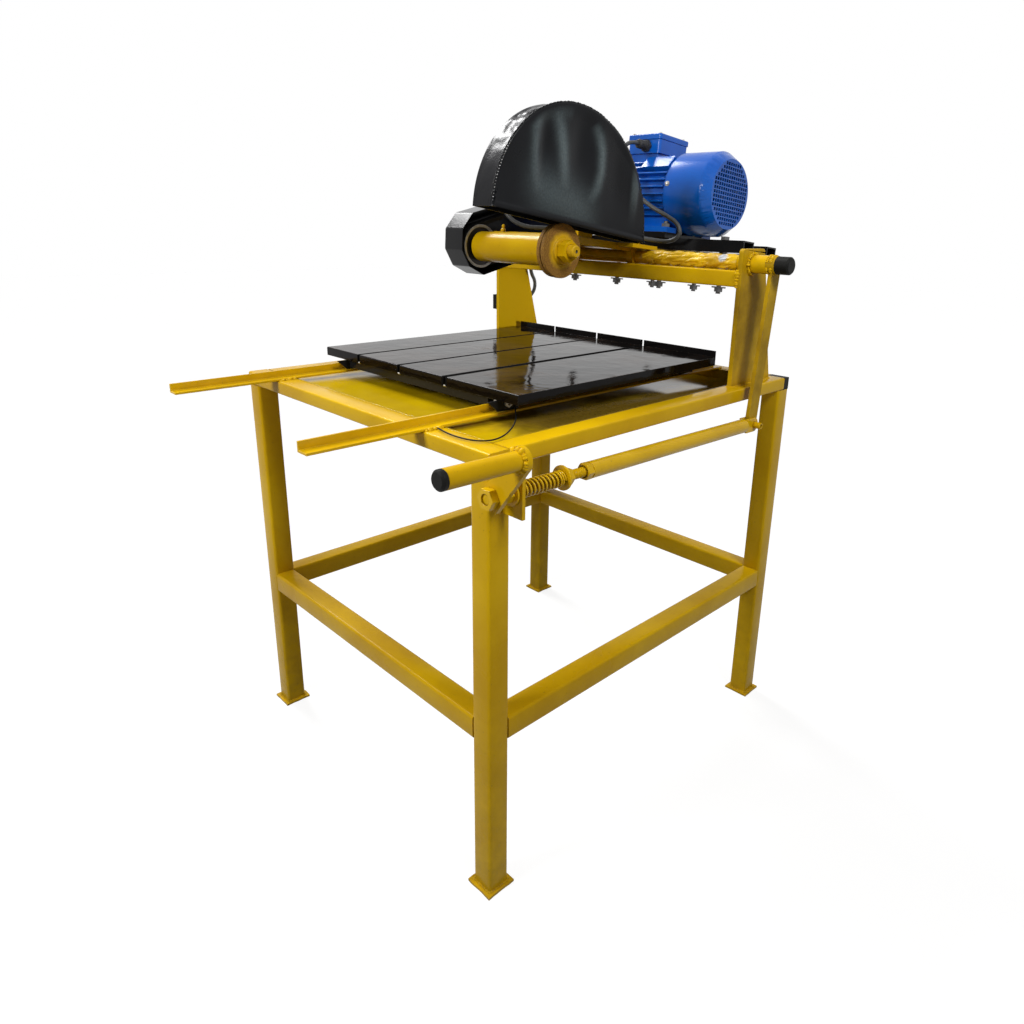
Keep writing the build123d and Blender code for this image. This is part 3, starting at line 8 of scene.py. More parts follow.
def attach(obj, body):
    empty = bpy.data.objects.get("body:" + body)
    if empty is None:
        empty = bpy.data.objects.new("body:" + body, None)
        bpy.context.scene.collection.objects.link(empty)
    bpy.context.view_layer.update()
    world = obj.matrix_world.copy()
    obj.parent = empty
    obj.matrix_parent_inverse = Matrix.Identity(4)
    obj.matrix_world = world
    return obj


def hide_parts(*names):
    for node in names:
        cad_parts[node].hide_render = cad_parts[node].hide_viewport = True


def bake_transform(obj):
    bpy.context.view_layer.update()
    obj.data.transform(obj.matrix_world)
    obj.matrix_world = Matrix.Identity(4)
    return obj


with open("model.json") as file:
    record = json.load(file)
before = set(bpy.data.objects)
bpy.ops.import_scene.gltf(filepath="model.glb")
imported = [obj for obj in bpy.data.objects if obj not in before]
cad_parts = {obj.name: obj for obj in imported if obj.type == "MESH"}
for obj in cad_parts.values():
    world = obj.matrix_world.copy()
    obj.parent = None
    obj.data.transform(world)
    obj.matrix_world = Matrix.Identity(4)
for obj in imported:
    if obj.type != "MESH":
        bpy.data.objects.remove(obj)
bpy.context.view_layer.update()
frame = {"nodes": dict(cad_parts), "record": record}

# The part's drawing is in millimetres about its own origin.
# The frame is in metres about the middle of the outline.
MM = 0.001
SHIFT = Vector((-15.5, 24.2271, 0.0))

# Sizes shared with the part's source, in millimetres
TUBE, TUBE_CORNER, RAIL_CORNER, CROSS_CORNER = 40, 5, 3.5, 3
STAND_WIDTH, STAND_DEPTH, PLUG_HEAD = 738, 828, 20
FOOT_SIDE, FOOT_THICK = 56, 4
STAND_TOP, RAIL_HEIGHT, STRETCHER_TOP = 757, 25, 322
UPRIGHT_OUT, UPRIGHT_IN, UPRIGHT_FRONT, UPRIGHT_BASE_DEPTH = 346, 337, 222, 146
CROSS_HEIGHT, CROSS_DEPTH, CROSS_TOP = 30, 20, 977
AXLE_Y, AXLE_Z, AXLE_R, BOSS_R, LEVER_HALF = 258.6, 989.5, 13.45, 16.85, 4
WRAP_START, WRAP_END = 84, 318
TRACKS, TRACK_FOOT = (-266, 197), 25
TRAY_FRONT, TRAY_GROOVES, TRAY_WELD_Z = -272, (-188, -51, 86), 784
BRACKET_HALF, BRACKET_WELD = 3, (670, 730)
ROD_X, SCREW_Y, SCREW_Z, PIN_Y, PIN_Z = 388, -387, 702, 236, 690
SCREW_R, SCREW_PITCH, SCREW_DEPTH, SCREW_START, SCREW_END = 8, 4.0, 1.3, -47.5, 235
WEB_BACK, WEB_THICK, CRANK_SIDE, CRANK_RISE, GRIP_R = -29.5, 8, 50, 64, 13.45
SPRING_SEAT, SPRING_GAP, SPRING_R, SPRING_WIRE_R = 3.966, 0.3, 10.75, 1.75
SPRING_CLOSED_PITCH, SPRING_OPEN_PITCH, SPRING_OPEN_TURNS = 4.2, 7.53, 10
HEAD_TILT = math.radians(5.36)
SPINDLE_Y, SPINDLE_Z = -256.9, -8.5
TIP_R, TIP_PITCH, TIP_DEPTH, TIP_START, TIP_END = 11.9, 2.5, 0.9, 117.3, 127.2
MOTOR_Y, MOTOR_Z = 184.2, 150.7
GUARD_LEFT, GUARD_RIGHT, GUARD_TOP, GUARD_CREST = 59, 110, 246, -254
GUARD_FRONT_R, GUARD_REAR_R, GUARD_FRONT_LOW, GUARD_REAR_LOW = 195, 218, 48, 27
FAN_COVER_R, FAN_SCREW_X, FAN_SCREWS = 89.5, 54, (52, 172, 292)
SHIELD_X, SHIELD_SCREW_R, SHIELD_SCREWS = -123, 58, (45, 135, 225, 315)
LID_SCREWS_X, LID_SCREWS_Y, LID_TOP = (-89, -14), (-44, 44), 127
CABLE_R, WIRE_R = 4.5, 1.2
CABLE_ROUTE = (
    (-43, 379.8, 1230.7), (-43, 350.8, 1233.4), (-40, 321, 1213), (-26, 306, 1172),
    (8, 312, 1124), (46, 323, 1094), (84, 331, 1076), (114, 335, 1060),
    (124, 334, 1036), (100, 330, 1021), (62, 323, 1024), (20, 292, 1031),
    (-8, 235, 1036), (-32, 170, 1042), (-60, 112, 1044), (-96, 74, 1046),
    (-126, 56, 1068), (-146, 62, 1104), (-176, 92, 1124), (-208, 132, 1108),
    (-224, 172, 1070), (-230, 218, 1038), (-240, 266, 1024), (-262, 292, 1000),
    (-290, 296, 968),
    (-304, 298, 952), (-316, 314, 930), (-330, 342, 908), (-347, 354, 880),
    (-357, 334, 858), (-357, 298, 858),
)
WIRE_ROUTE = (
    (225.5, -232, 770), (226.5, -235, 764.5), (232, -240, 761), (246, -251, 760),
    (270, -274, 760), (298, -306, 760), (322, -342, 760), (331, -372, 760),
    (318, -393, 760), (286, -400, 760), (254, -398, 760), (228, -392, 760),
)
SIDE, END = STAND_WIDTH / 2, STAND_DEPTH / 2
LEG_TOP = STAND_TOP - RAIL_HEIGHT


def at(x, y, z):
    """A point of the drawing as a point of the frame, in metres."""
    return (Vector((x, y, z)) + SHIFT) * MM


SCALE = Matrix.Scale(MM, 4)
BENCH = Matrix.Translation(SHIFT * MM) @ SCALE
HEAD = Matrix.Translation(at(0, AXLE_Y, AXLE_Z)) @ Matrix.Rotation(-HEAD_TILT, 4, "X") @ SCALE
ROD_DROP = math.atan2(SCREW_Z - PIN_Z, PIN_Y - SCREW_Y)
ROD = Matrix.Translation(at(ROD_X, SCREW_Y, SCREW_Z)) @ Matrix.Rotation(-ROD_DROP, 4, "X") @ SCALE
MOTOR = HEAD @ Matrix.Translation((0, MOTOR_Y, MOTOR_Z))
SPINDLE = HEAD @ Matrix.Translation((0, SPINDLE_Y, SPINDLE_Z))
QUARTER_TURN = math.radians(90)
ALONG_ROD = ROD @ Matrix.Rotation(-QUARTER_TURN, 4, "X")
ALONG_SPINDLE = SPINDLE @ Matrix.Rotation(QUARTER_TURN, 4, "Y")


# Small helpers for node trees

# Where a Mix node has its factor and its two colours
MIX_INPUTS = (0, 6, 7)
# Short names for the shader's inputs
LOOKS = {"colour": "Base Color", "rough": "Roughness", "metal": "Metallic", "shine": "Specular IOR Level"}
# Named inputs and outputs that are not plain numbers
SOCKET_KINDS = {"Vector": "Vector", "Stretch": "Vector", "Seed": "Int", "Geometry": "Geometry",
                "Material": "Material"}


def live(sockets, name=None):
    """The first socket, or the first of that name, which the node's settings leave in use."""
    return next(item for item in sockets if item.enabled and name in (None, item.name))


class Board:
    """Adds nodes to a tree, with values and links set in one call."""

    def __init__(self, tree):
        self.tree = tree

    def fill(self, node, values):
        """Sets a node's inputs, or links them where the value comes from another node."""
        for key, value in values.items():
            if isinstance(value, bpy.types.NodeSocket):
                self.tree.links.new(value, node.inputs[key])
            else:
                node.inputs[key].default_value = value

    def node(self, kind, values=None, **settings):
        node = self.tree.nodes.new(kind)
        for key, value in settings.items():
            setattr(node, key, value)
        self.fill(node, values or {})
        return node

    def add(self, kind, values=None, output=None, **settings):
        """What a new node puts out."""
        return live(self.node(kind, values, **settings).outputs, output)

    def math(self, operation, *values, clamp=False):
        return self.add("ShaderNodeMath", dict(enumerate(values)), operation=operation, use_clamp=clamp)

    def times(self, first, second, clamp=False):
        return self.math("MULTIPLY", first, second, clamp=clamp)

    def plus(self, first, second, clamp=False):
        return self.math("ADD", first, second, clamp=clamp)

    def minus(self, first, second):
        return self.math("SUBTRACT", first, second)

    def vector(self, operation, *values):
        return self.add("ShaderNodeVectorMath", dict(enumerate(values)), operation=operation)

    def axis(self, where, name):
        return self.add("ShaderNodeSeparateXYZ", {"Vector": where}, name)

    def mix(self, share, first, second):
        """A colour between two colours, each from a node or three numbers."""
        colours = [item if isinstance(item, bpy.types.NodeSocket) else (*item, 1) for item in (first, second)]
        return self.add("ShaderNodeMix", dict(zip(MIX_INPUTS, (share, *colours))), data_type="RGBA")

    def spread(self, value, low, high, to_low=0.0, to_high=1.0):
        values = {"Value": value, "From Min": low, "From Max": high, "To Min": to_low, "To Max": to_high}
        return self.add("ShaderNodeMapRange", values, clamp=True)

    def noise(self, where, scale, detail=3.0, rough=0.55):
        values = {"Vector": where, "Scale": scale, "Detail": detail, "Roughness": rough}
        return self.add("ShaderNodeTexNoise", values, "Fac")


def new_group(name, inputs, build, kind="ShaderNodeTree"):
    """A node group with named inputs, which puts out what its build function hands back by name."""
    tree = bpy.data.node_groups.new(name, kind)

    def add_socket(label, side):
        socket = "NodeSocket" + SOCKET_KINDS.get(label, "Float")
        return tree.interface.new_socket(label, in_out=side, socket_type=socket)

    for label, default in inputs.items():
        socket = add_socket(label, "INPUT")
        if default is not None:
            socket.default_value = default
    board = Board(tree)
    made = build(board, board.node("NodeGroupInput").outputs)
    for label in made:
        add_socket(label, "OUTPUT")
    board.node("NodeGroupOutput", made)
    return tree


# Shared surface effects

def edge_wear(board, value):
    """A mask that is 1 along handled edges, broken up by noise."""
    rounded = board.add("ShaderNodeBevel", {"Radius": value["Reach"]}, samples=4)
    flat = board.add("ShaderNodeNewGeometry", output="Normal")
    edge = board.spread(board.vector("DOT_PRODUCT", rounded, flat), 0.97, 0.80)
    broken = board.noise(value["Vector"], value["Ragged"], 4.0, 0.7)
    ragged = board.times(edge, board.spread(broken, 0.35, 0.75))
    limit = board.times(board.minus(1.0, value["Amount"]), 0.6)
    return {"Mask": board.times(board.minus(ragged, limit), 3.0, clamp=True)}


def mottle(board, value):
    """Broad and fine variation for a hand-finished surface."""
    where, fine = value["Vector"], value["Fine Scale"]
    return {
        "Broad": board.noise(where, value["Broad Scale"], 5.0, 0.6),
        "Fine": board.noise(where, fine, 3.0, 0.6),
        "Peel": board.noise(where, board.times(fine, 1.8), 2.0, 0.5),
    }


def corner_dirt(board, value):
    """A patchy mask for inside corners, where shade falls and grime gathers, and for low down."""
    shade = board.add("ShaderNodeAmbientOcclusion", {"Distance": value["Reach"]}, "AO", samples=4)
    inside = board.spread(shade, 0.75, 0.25)
    patches = board.spread(board.noise(value["Vector"], 35.0, 4.0, 0.65), 0.3, 0.7)
    height = board.spread(board.axis(value["Vector"], "Z"), 0.42, 0.0)
    low = board.times(height, board.spread(patches, 0.0, 1.0, 0.15, 0.62))
    gathered = board.math("MAXIMUM", board.times(inside, patches), low)
    return {"Mask": board.times(gathered, value["Amount"], clamp=True)}


def scuffs(board, value):
    """A mask of thin scratches that run along one direction."""
    squeezed = board.vector("DIVIDE", value["Vector"], value["Stretch"])
    lines = board.spread(board.noise(squeezed, value["Scale"], 5.0, 0.75), 0.58, 0.72)
    patches = board.spread(board.noise(value["Vector"], 9.0, 2.0), 0.35, 0.65)
    return {"Mask": board.times(board.times(lines, patches), value["Amount"], clamp=True)}


WEAR_INPUTS = {"Vector": None, "Reach": 0.0015, "Ragged": 90.0, "Amount": 0.5}
EDGE_WEAR = new_group("edge_wear", WEAR_INPUTS, edge_wear)
MOTTLE = new_group("mottle", {"Vector": None, "Broad Scale": 6.0, "Fine Scale": 160.0}, mottle)
CORNER_DIRT = new_group("corner_dirt", {"Vector": None, "Reach": 0.02, "Amount": 0.5}, corner_dirt)
SCUFFS = new_group("scuffs", {"Vector": None, "Scale": 60.0, "Stretch": (1, 12, 1), "Amount": 0.3}, scuffs)


# Materials

class Surface(Board):
    """A material with its shader, the Object coordinates that patterns follow, and the mottle's tones."""

    def __init__(self, name, *scales):
        self.material = bpy.data.materials.new(name)
        self.material.use_nodes = True
        super().__init__(self.material.node_tree)
        self.tree.nodes.clear()
        self.shader = self.node("ShaderNodeBsdfPrincipled")
        self.node("ShaderNodeOutputMaterial", {"Surface": self.shader.outputs["BSDF"]})
        self.where = self.add("ShaderNodeTexCoord", output="Object")
        if scales:
            values = {"Vector": self.where, "Broad Scale": scales[0], "Fine Scale": scales[1]}
            tones = self.node("ShaderNodeGroup", values, node_tree=MOTTLE).outputs
            self.broad, self.fine, self.peel = tones["Broad"], tones["Fine"], tones["Peel"]

    def mask(self, effect, **values):
        """The mask of a shared effect, with the material's own values."""
        return self.add("ShaderNodeGroup", {"Vector": self.where, **values}, node_tree=effect)

    def dress(self, height=None, strength=1.0, distance=0.0006, **looks):
        """The material, once its shader has its looks and its normal a height."""
        self.fill(self.shader, {LOOKS[key]: value for key, value in looks.items()})
        if height is not None:
            values = {"Height": height, "Strength": strength, "Distance": distance}
            self.fill(self.shader, {"Normal": self.add("ShaderNodeBump", values)})
        return self.material


def painted(name, colour, deep, wear, dirt, rough, shine, wear_amount=0.5, dirt_amount=0.6, peel=0.12,
            broad=5.0, right_only=False):
    """Enamel over steel: two tones, painted shade with grime in the corners and low down, and edges worn
    through.
    """
    on = Surface(name, broad, 170.0)
    worn = on.mask(EDGE_WEAR, Amount=wear_amount)
    # Painted shade with grime: the corner mask darkens inside corners and low down toward the grime colour.
    grime = on.mask(CORNER_DIRT, Amount=dirt_amount)
    share = on.spread(on.broad, 0.35, 0.68)
    # The second tone kept to the right-hand side, where it is also painted shade.
    if right_only:
        share = on.times(share, on.spread(on.axis(on.where, "X"), -0.1, 0.1))
    tone = on.mix(share, colour, deep)
    speck = on.mix(on.spread(on.fine, 0.66, 0.75, 0.0, 0.35), tone, dirt)
    return on.dress(
        colour=on.mix(worn, on.mix(grime, speck, dirt), wear),
        rough=on.plus(on.spread(on.broad, 0.3, 0.7, *rough), on.times(grime, 0.3)),
        metal=on.times(worn, 0.6), shine=shine,
        height=on.plus(on.peel, on.times(worn, -1.5)), strength=peel)


def bare_metal(name, colour, stain, rough=(0.25, 0.5)):
    """Turned or plated metal with stains."""
    on = Surface(name, 28.0, 420.0)
    lines = on.mask(SCUFFS, Scale=240.0, Stretch=(8.0, 1.0, 1.0), Amount=0.6)
    stained = on.spread(on.broad, 0.5, 0.75)
    return on.dress(
        colour=on.mix(stained, colour, stain),
        rough=on.plus(on.spread(on.fine, 0.3, 0.7, *rough), on.times(stained, 0.25)),
        metal=on.minus(1.0, on.times(stained, 0.7)),
        height=on.plus(on.fine, lines), strength=0.15, distance=0.0004)


def moulded(name, colour, rough=(0.4, 0.6), grain=600.0, dust=0.2, shine=0.2):
    """Moulded plastic or rubber with a fine grain and dust in its corners."""
    on = Surface(name, 18.0, grain)
    grime = on.mask(CORNER_DIRT, Reach=0.008, Amount=dust)
    patch = on.plus(grime, on.spread(on.broad, 0.5, 0.8, 0.0, dust * 0.6))
    return on.dress(
        colour=on.mix(patch, colour, DUST),
        rough=on.spread(on.broad, 0.3, 0.7, *rough), shine=shine,
        height=on.fine, strength=0.12, distance=0.0004)


GRIME, DUST = (0.10, 0.065, 0.02), (0.08, 0.08, 0.08)
UNDER_YELLOW, UNDER_BLACK, UNDER_BLUE = (0.16, 0.12, 0.08), (0.09, 0.085, 0.08), (0.25, 0.26, 0.28)
yellow_paint = painted("yellow_enamel", (0.70, 0.43, 0.003), (0.56, 0.32, 0.003), UNDER_YELLOW, GRIME,
                       (0.14, 0.30), shine=0.06)
yellow_gloss = painted("glossy_yellow_enamel", (0.74, 0.46, 0.003), (0.60, 0.35, 0.003), UNDER_YELLOW, GRIME,
                       (0.10, 0.22), shine=0.14)
# Smudged yellow: its very dark second tone is partly smudges and partly painted shade, on the right-hand side
# only.
yellow_smudged = painted("smudged_yellow_enamel", (0.62, 0.38, 0.004), (0.24, 0.135, 0.006), UNDER_YELLOW,
                         GRIME, (0.3, 0.5), shine=0.06, dirt_amount=0.9, peel=0.3, broad=7.0, right_only=True)
black_gloss = painted("black_gloss_enamel", (0.008, 0.008, 0.009), (0.013, 0.013, 0.014), UNDER_BLACK,
                      (0.05, 0.047, 0.044), (0.10, 0.20), shine=0.14, dirt_amount=0.25, wear_amount=0.35)
rim_black = painted("guard_rim_enamel", (0.004, 0.004, 0.005), (0.007, 0.007, 0.009), UNDER_BLACK,
                    (0.03, 0.03, 0.03), (0.16, 0.30), shine=0.15, dirt_amount=0.2, wear_amount=0.3, peel=0.5)
motor_blue = painted("motor_blue_enamel", (0.003, 0.125, 0.58), (0.002, 0.076, 0.42), UNDER_BLUE,
                     (0.004, 0.012, 0.05), (0.14, 0.27), shine=0.3, dirt_amount=0.7, wear_amount=0.3)
bare_steel = bare_metal("plated_steel", (0.46, 0.44, 0.40), (0.18, 0.12, 0.07))
cast_grey = bare_metal("cast_grey", (0.42, 0.42, 0.42), (0.22, 0.21, 0.20), rough=(0.35, 0.55))
dark_steel = bare_metal("oiled_steel", (0.12, 0.12, 0.12), (0.06, 0.045, 0.03))
black_plastic = moulded("black_plastic", (0.009, 0.009, 0.008), dust=0.1, shine=0.07)
belt_rubber = moulded("belt_rubber", (0.018, 0.018, 0.018), rough=(0.6, 0.8), grain=900.0)
cable_sheath = moulded("cable_sheath", (0.075, 0.078, 0.078), rough=(0.22, 0.36), grain=1200.0)
gland_grey = moulded("gland_grey", (0.045, 0.045, 0.048), rough=(0.3, 0.45))


def make_tray_gloss():
    """Dark table sheet: wet shine, ripples, rubs tinted as a painted reflection, a painted edge highlight,
    and painted groove shade.
    """
    on = Surface("table_black_gloss", 9.0, 90.0)
    lines = on.mask(SCUFFS, Scale=110.0, Stretch=(9.0, 3.0, 1.0), Amount=0.9)
    worn = on.mask(EDGE_WEAR, Amount=0.75)
    across = on.axis(on.where, "X")
    top = on.spread(on.axis(on.add("ShaderNodeNewGeometry", output="Normal"), "Z"), 0.5, 0.9)
    # Painted shade: a near-black band along each groove, wider than the groove's gap.
    groove = 0.0
    dull_edges, fade = (4.4, 4.4, 7.4), 0.6
    for middle, half in zip(TRAY_GROOVES, dull_edges):
        off = on.math("ABSOLUTE", on.minus(across, at(middle, 0, 0).x))
        groove = on.math("MAXIMUM", groove, on.spread(off, (half + fade) * MM, half * MM))
    # Rubbed patches and scuffs on the top faces, tinted brown as a painted reflection of the surroundings.
    haze = on.plus(on.spread(on.broad, 0.40, 0.70, 0.0, 0.4), on.times(lines, 0.9))
    tone = on.mix(on.times(haze, top), (0.004, 0.003, 0.003), (0.080, 0.055, 0.042))
    # Edge wear, which here is also a painted highlight along the sheet's edges.
    tone = on.mix(worn, tone, (0.22, 0.20, 0.18))
    gloss = on.plus(on.spread(on.broad, 0.35, 0.7, 0.04, 0.14), on.times(lines, 0.4))
    ripple = on.plus(on.noise(on.where, 26.0, 2.0, 0.5), on.times(on.fine, 0.16))
    return on.dress(
        colour=on.mix(groove, tone, (0.003, 0.003, 0.003)), rough=on.plus(gloss, groove), shine=0.07,
        height=on.plus(ripple, on.times(lines, 0.10)), strength=0.30, distance=0.002)


def spindle_radius(on):
    """How far a place is from the spindle's line."""
    offset = on.vector("SUBTRACT", on.where, SPINDLE.translation)
    return on.vector("LENGTH", on.vector("MULTIPLY", offset, (0.0, 1.0, 1.0)))


def make_flange_rust():
    """Yellow hub whose rim has gone rust brown, with painted shade for the centre hole in the spindle's end.
    """
    on = Surface("flange_rusted_paint", 45.0, 420.0)
    radius = spindle_radius(on)
    rusty = on.spread(on.plus(radius, on.times(on.broad, 0.014)), 0.035, 0.044)
    rust = on.mix(on.spread(on.fine, 0.35, 0.7), (0.14, 0.062, 0.012), (0.38, 0.20, 0.03))
    paint = on.mix(on.fine, (0.70, 0.42, 0.004), (0.52, 0.30, 0.004))
    # Painted shade: a near-black disc where the centre hole is.
    hole = on.spread(radius, 0.0034, 0.0028)
    return on.dress(
        colour=on.mix(hole, on.mix(rusty, paint, rust), (0.012, 0.009, 0.006)),
        rough=on.spread(rusty, 0.0, 1.0, 0.38, 0.75), shine=0.25,
        height=on.fine, strength=0.5, distance=0.0008)


def make_pulley_face():
    """A pulley with a bright turned rim round a dark web."""
    on = Surface("pulley_face", 60.0, 400.0)
    rim = on.spread(spindle_radius(on), 0.0376, 0.0386)
    bright = on.mix(on.broad, (0.62, 0.62, 0.60), (0.40, 0.39, 0.37))
    return on.dress(colour=on.mix(rim, (0.010, 0.010, 0.010), bright), metal=on.times(rim, 0.3), rough=0.42)


def make_guard_black():
    """Semi-gloss black with a painted bluish-grey highlight on the ridges, where the piece's own attribute
    marks it.
    """
    on = Surface("guard_black_enamel", 11.0, 260.0)
    worn = on.mask(EDGE_WEAR, Amount=0.3)
    sheen = on.add("ShaderNodeAttribute", output="Fac", attribute_name="sheen")
    # Painted highlight: the black turns bluish grey as far as the piece's attribute says.
    share = on.times(sheen, on.spread(on.fine, 0.25, 0.75, 0.65, 1.2), clamp=True)
    patches = on.spread(on.broad, 0.35, 0.7)
    dark = on.mix(patches, (0.0030, 0.0034, 0.0046), (0.0055, 0.0062, 0.0080))
    tone = on.mix(share, dark, (0.120, 0.152, 0.160))
    return on.dress(
        colour=on.mix(worn, tone, (0.10, 0.10, 0.10)),
        rough=on.spread(on.broad, 0.3, 0.7, 0.24, 0.34), shine=0.12,
        height=on.peel, strength=0.3)


def make_film():
    """Crumpled film with yellow overspray, painted shade in its creases, and a bare grey spot near its right
    end.
    """
    on = Surface("oversprayed_film", 22.0, 240.0)
    paint = on.mix(on.spread(on.broad, 0.38, 0.62), (0.76, 0.48, 0.006), (0.50, 0.29, 0.006))
    bare_spot = at(285, AXLE_Y - 12, AXLE_Z + 11)
    away = on.plus(on.vector("DISTANCE", on.where, bare_spot), on.times(on.broad, 0.02))
    # Painted shade in the film's creases, from the corner mask.
    folds = on.mask(CORNER_DIRT, Reach=0.006, Amount=1.6)
    paint = on.mix(folds, paint, (0.16, 0.085, 0.006))
    return on.dress(
        colour=on.mix(on.spread(away, 0.023, 0.018), paint, (0.42, 0.43, 0.44)),
        rough=on.spread(on.fine, 0.3, 0.7, 0.26, 0.45), shine=0.2,
        height=on.fine, strength=0.3)


def make_pan():
    """Yellow pan with painted shade in its corners and a darker, glossier strip at the right front."""
    on = Surface("pan_wet_enamel", 8.0, 150.0)
    side = on.plus(on.axis(on.where, "X"), on.times(on.broad, 0.10))
    back = on.plus(on.axis(on.where, "Y"), on.times(on.broad, 0.25))
    # A darker, glossier strip at the right front.
    wet = on.times(on.spread(side, 0.215, 0.275), on.spread(back, -0.20, -0.08))
    # Painted shade with grime in the pan's corners, from the corner mask.
    grime = on.mask(CORNER_DIRT, Amount=0.7)
    paint = on.mix(on.spread(on.broad, 0.35, 0.65), (0.58, 0.385, 0.002), (0.47, 0.30, 0.002))
    slurry = on.mix(on.fine, (0.11, 0.072, 0.012), (0.27, 0.17, 0.016))
    return on.dress(
        colour=on.mix(wet, on.mix(grime, paint, GRIME), slurry),
        rough=on.spread(wet, 0.0, 1.0, 0.15, 0.06), shine=0.18,
        height=on.peel, strength=0.08)


table_black = make_tray_gloss()
flange_rust = make_flange_rust()
pulley_face = make_pulley_face()
guard_black = make_guard_black()
film = make_film()
pan_paint = make_pan()


# Making pieces

def new_piece(name, mesh, material):
    """An object in the scene, in one material."""
    mesh.materials.clear()
    mesh.materials.append(material)
    piece = bpy.data.objects.new(name, mesh)
    bpy.context.scene.collection.objects.link(piece)
    return piece


def settle(name, mesh, material, body, stands_for=(), crease=40):
    """Turns a mesh that is already in place into a piece on a body."""
    mesh.shade_smooth()
    if crease:
        mesh.set_sharp_from_angle(angle=math.radians(crease))
    piece = new_piece(name, mesh, material)
    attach(piece, body)
    if stands_for:
        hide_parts(*stands_for)
    return piece


def from_bmesh(name, bm, outwards=True):
    """A plain mesh from a bmesh, with its faces turned outwards."""
    if outwards:
        bmesh.ops.recalc_face_normals(bm, faces=bm.faces)
    mesh = bpy.data.meshes.new(name)
    bm.to_mesh(mesh)
    bm.free()
    return mesh


def evaluated(helper):
    """The mesh that a helper object's curve or modifiers make. The helper goes."""
    bpy.context.scene.collection.objects.link(helper)
    bpy.context.view_layer.update()
    mesh = bpy.data.meshes.new_from_object(helper.evaluated_get(bpy.context.evaluated_depsgraph_get()))
    helper.modifiers.clear()
    bpy.data.objects.remove(helper)
    return mesh


def finished(mesh, *modifiers):
    """The mesh as modifiers leave it."""
    helper = bpy.data.objects.new("helper", mesh)
    for kind, settings in modifiers:
        modifier = helper.modifiers.new(kind.lower(), kind)
        for key, value in settings.items():
            setattr(modifier, key, value)
    return evaluated(helper)


def skin(bm, rings, caps=True):
    """Faces from each ring of points to the next, and over both ends."""
    for first, second in zip(rings, rings[1:]):
        for number in range(len(first)):
            after = (number + 1) % len(first)
            bm.faces.new((first[number], first[after], second[after], second[number]))
    if caps:
        bm.faces.new(rings[0])
        bm.faces.new(rings[-1])


def ringed(name, count, sides, place, caps=True):
    """A mesh of rings of points, each point placed by its ring's number and its angle."""
    bm = bmesh.new()
    angles = [2 * math.pi * side / sides for side in range(sides)]
    skin(bm, [[bm.verts.new(place(number, angle)) for angle in angles] for number in range(count)], caps)
    return from_bmesh(name, bm)


def add_bar(bm, x, y, z, along, corner):
    """A square or flat tube with rounded long edges, between limits on each axis of the drawing."""
    limits = (x, y, z)
    first, second = [axis for axis in range(3) if axis != along]
    steps = 4
    rings = []
    for end in limits[along]:
        ring = []
        for quarter, signs in enumerate(((1, 1), (-1, 1), (-1, -1), (1, -1))):
            for step in range(steps + 1):
                angle = math.pi / 2 * (quarter + step / steps)
                place = [end, end, end]
                for axis, sign, turn in zip((first, second), signs, (math.cos(angle), math.sin(angle))):
                    low, high = limits[axis]
                    place[axis] = (low + high) / 2 + sign * ((high - low) / 2 - corner) + corner * turn
                ring.append(bm.verts.new(at(*place)))
        rings.append(ring)
    skin(bm, rings)


def add_plate(bm, x, y, seed):
    """A flame-cut foot plate about a middle: a slab whose edges wander a little."""
    cells, wander, wave = 6, 1.2, 0.09
    half = FOOT_SIDE / 2 - 1
    layers = []
    for z in (0, FOOT_THICK):
        grid = []
        for row in range(cells + 1):
            line = []
            for column in range(cells + 1):
                px = x - half + 2 * half * column / cells
                py = y - half + 2 * half * row / cells
                rim = row in (0, cells) or column in (0, cells)
                shake = noise.noise_vector(Vector((px, py, seed)) * wave) * (wander if rim else 0.0)
                line.append(bm.verts.new(at(px + shake.x, py + shake.y, z)))
            grid.append(line)
        layers.append(grid)
        for lower, upper in zip(grid, grid[1:]):
            for n in range(cells):
                bm.faces.new((lower[n], lower[n + 1], upper[n + 1], upper[n]))
    rim = [(0, n) for n in range(cells)] + [(n, cells) for n in range(cells)]
    rim += [(cells, cells - n) for n in range(cells)] + [(cells - n, 0) for n in range(cells)]
    skin(bm, [[grid[row][column] for row, column in rim] for grid in layers], caps=False)


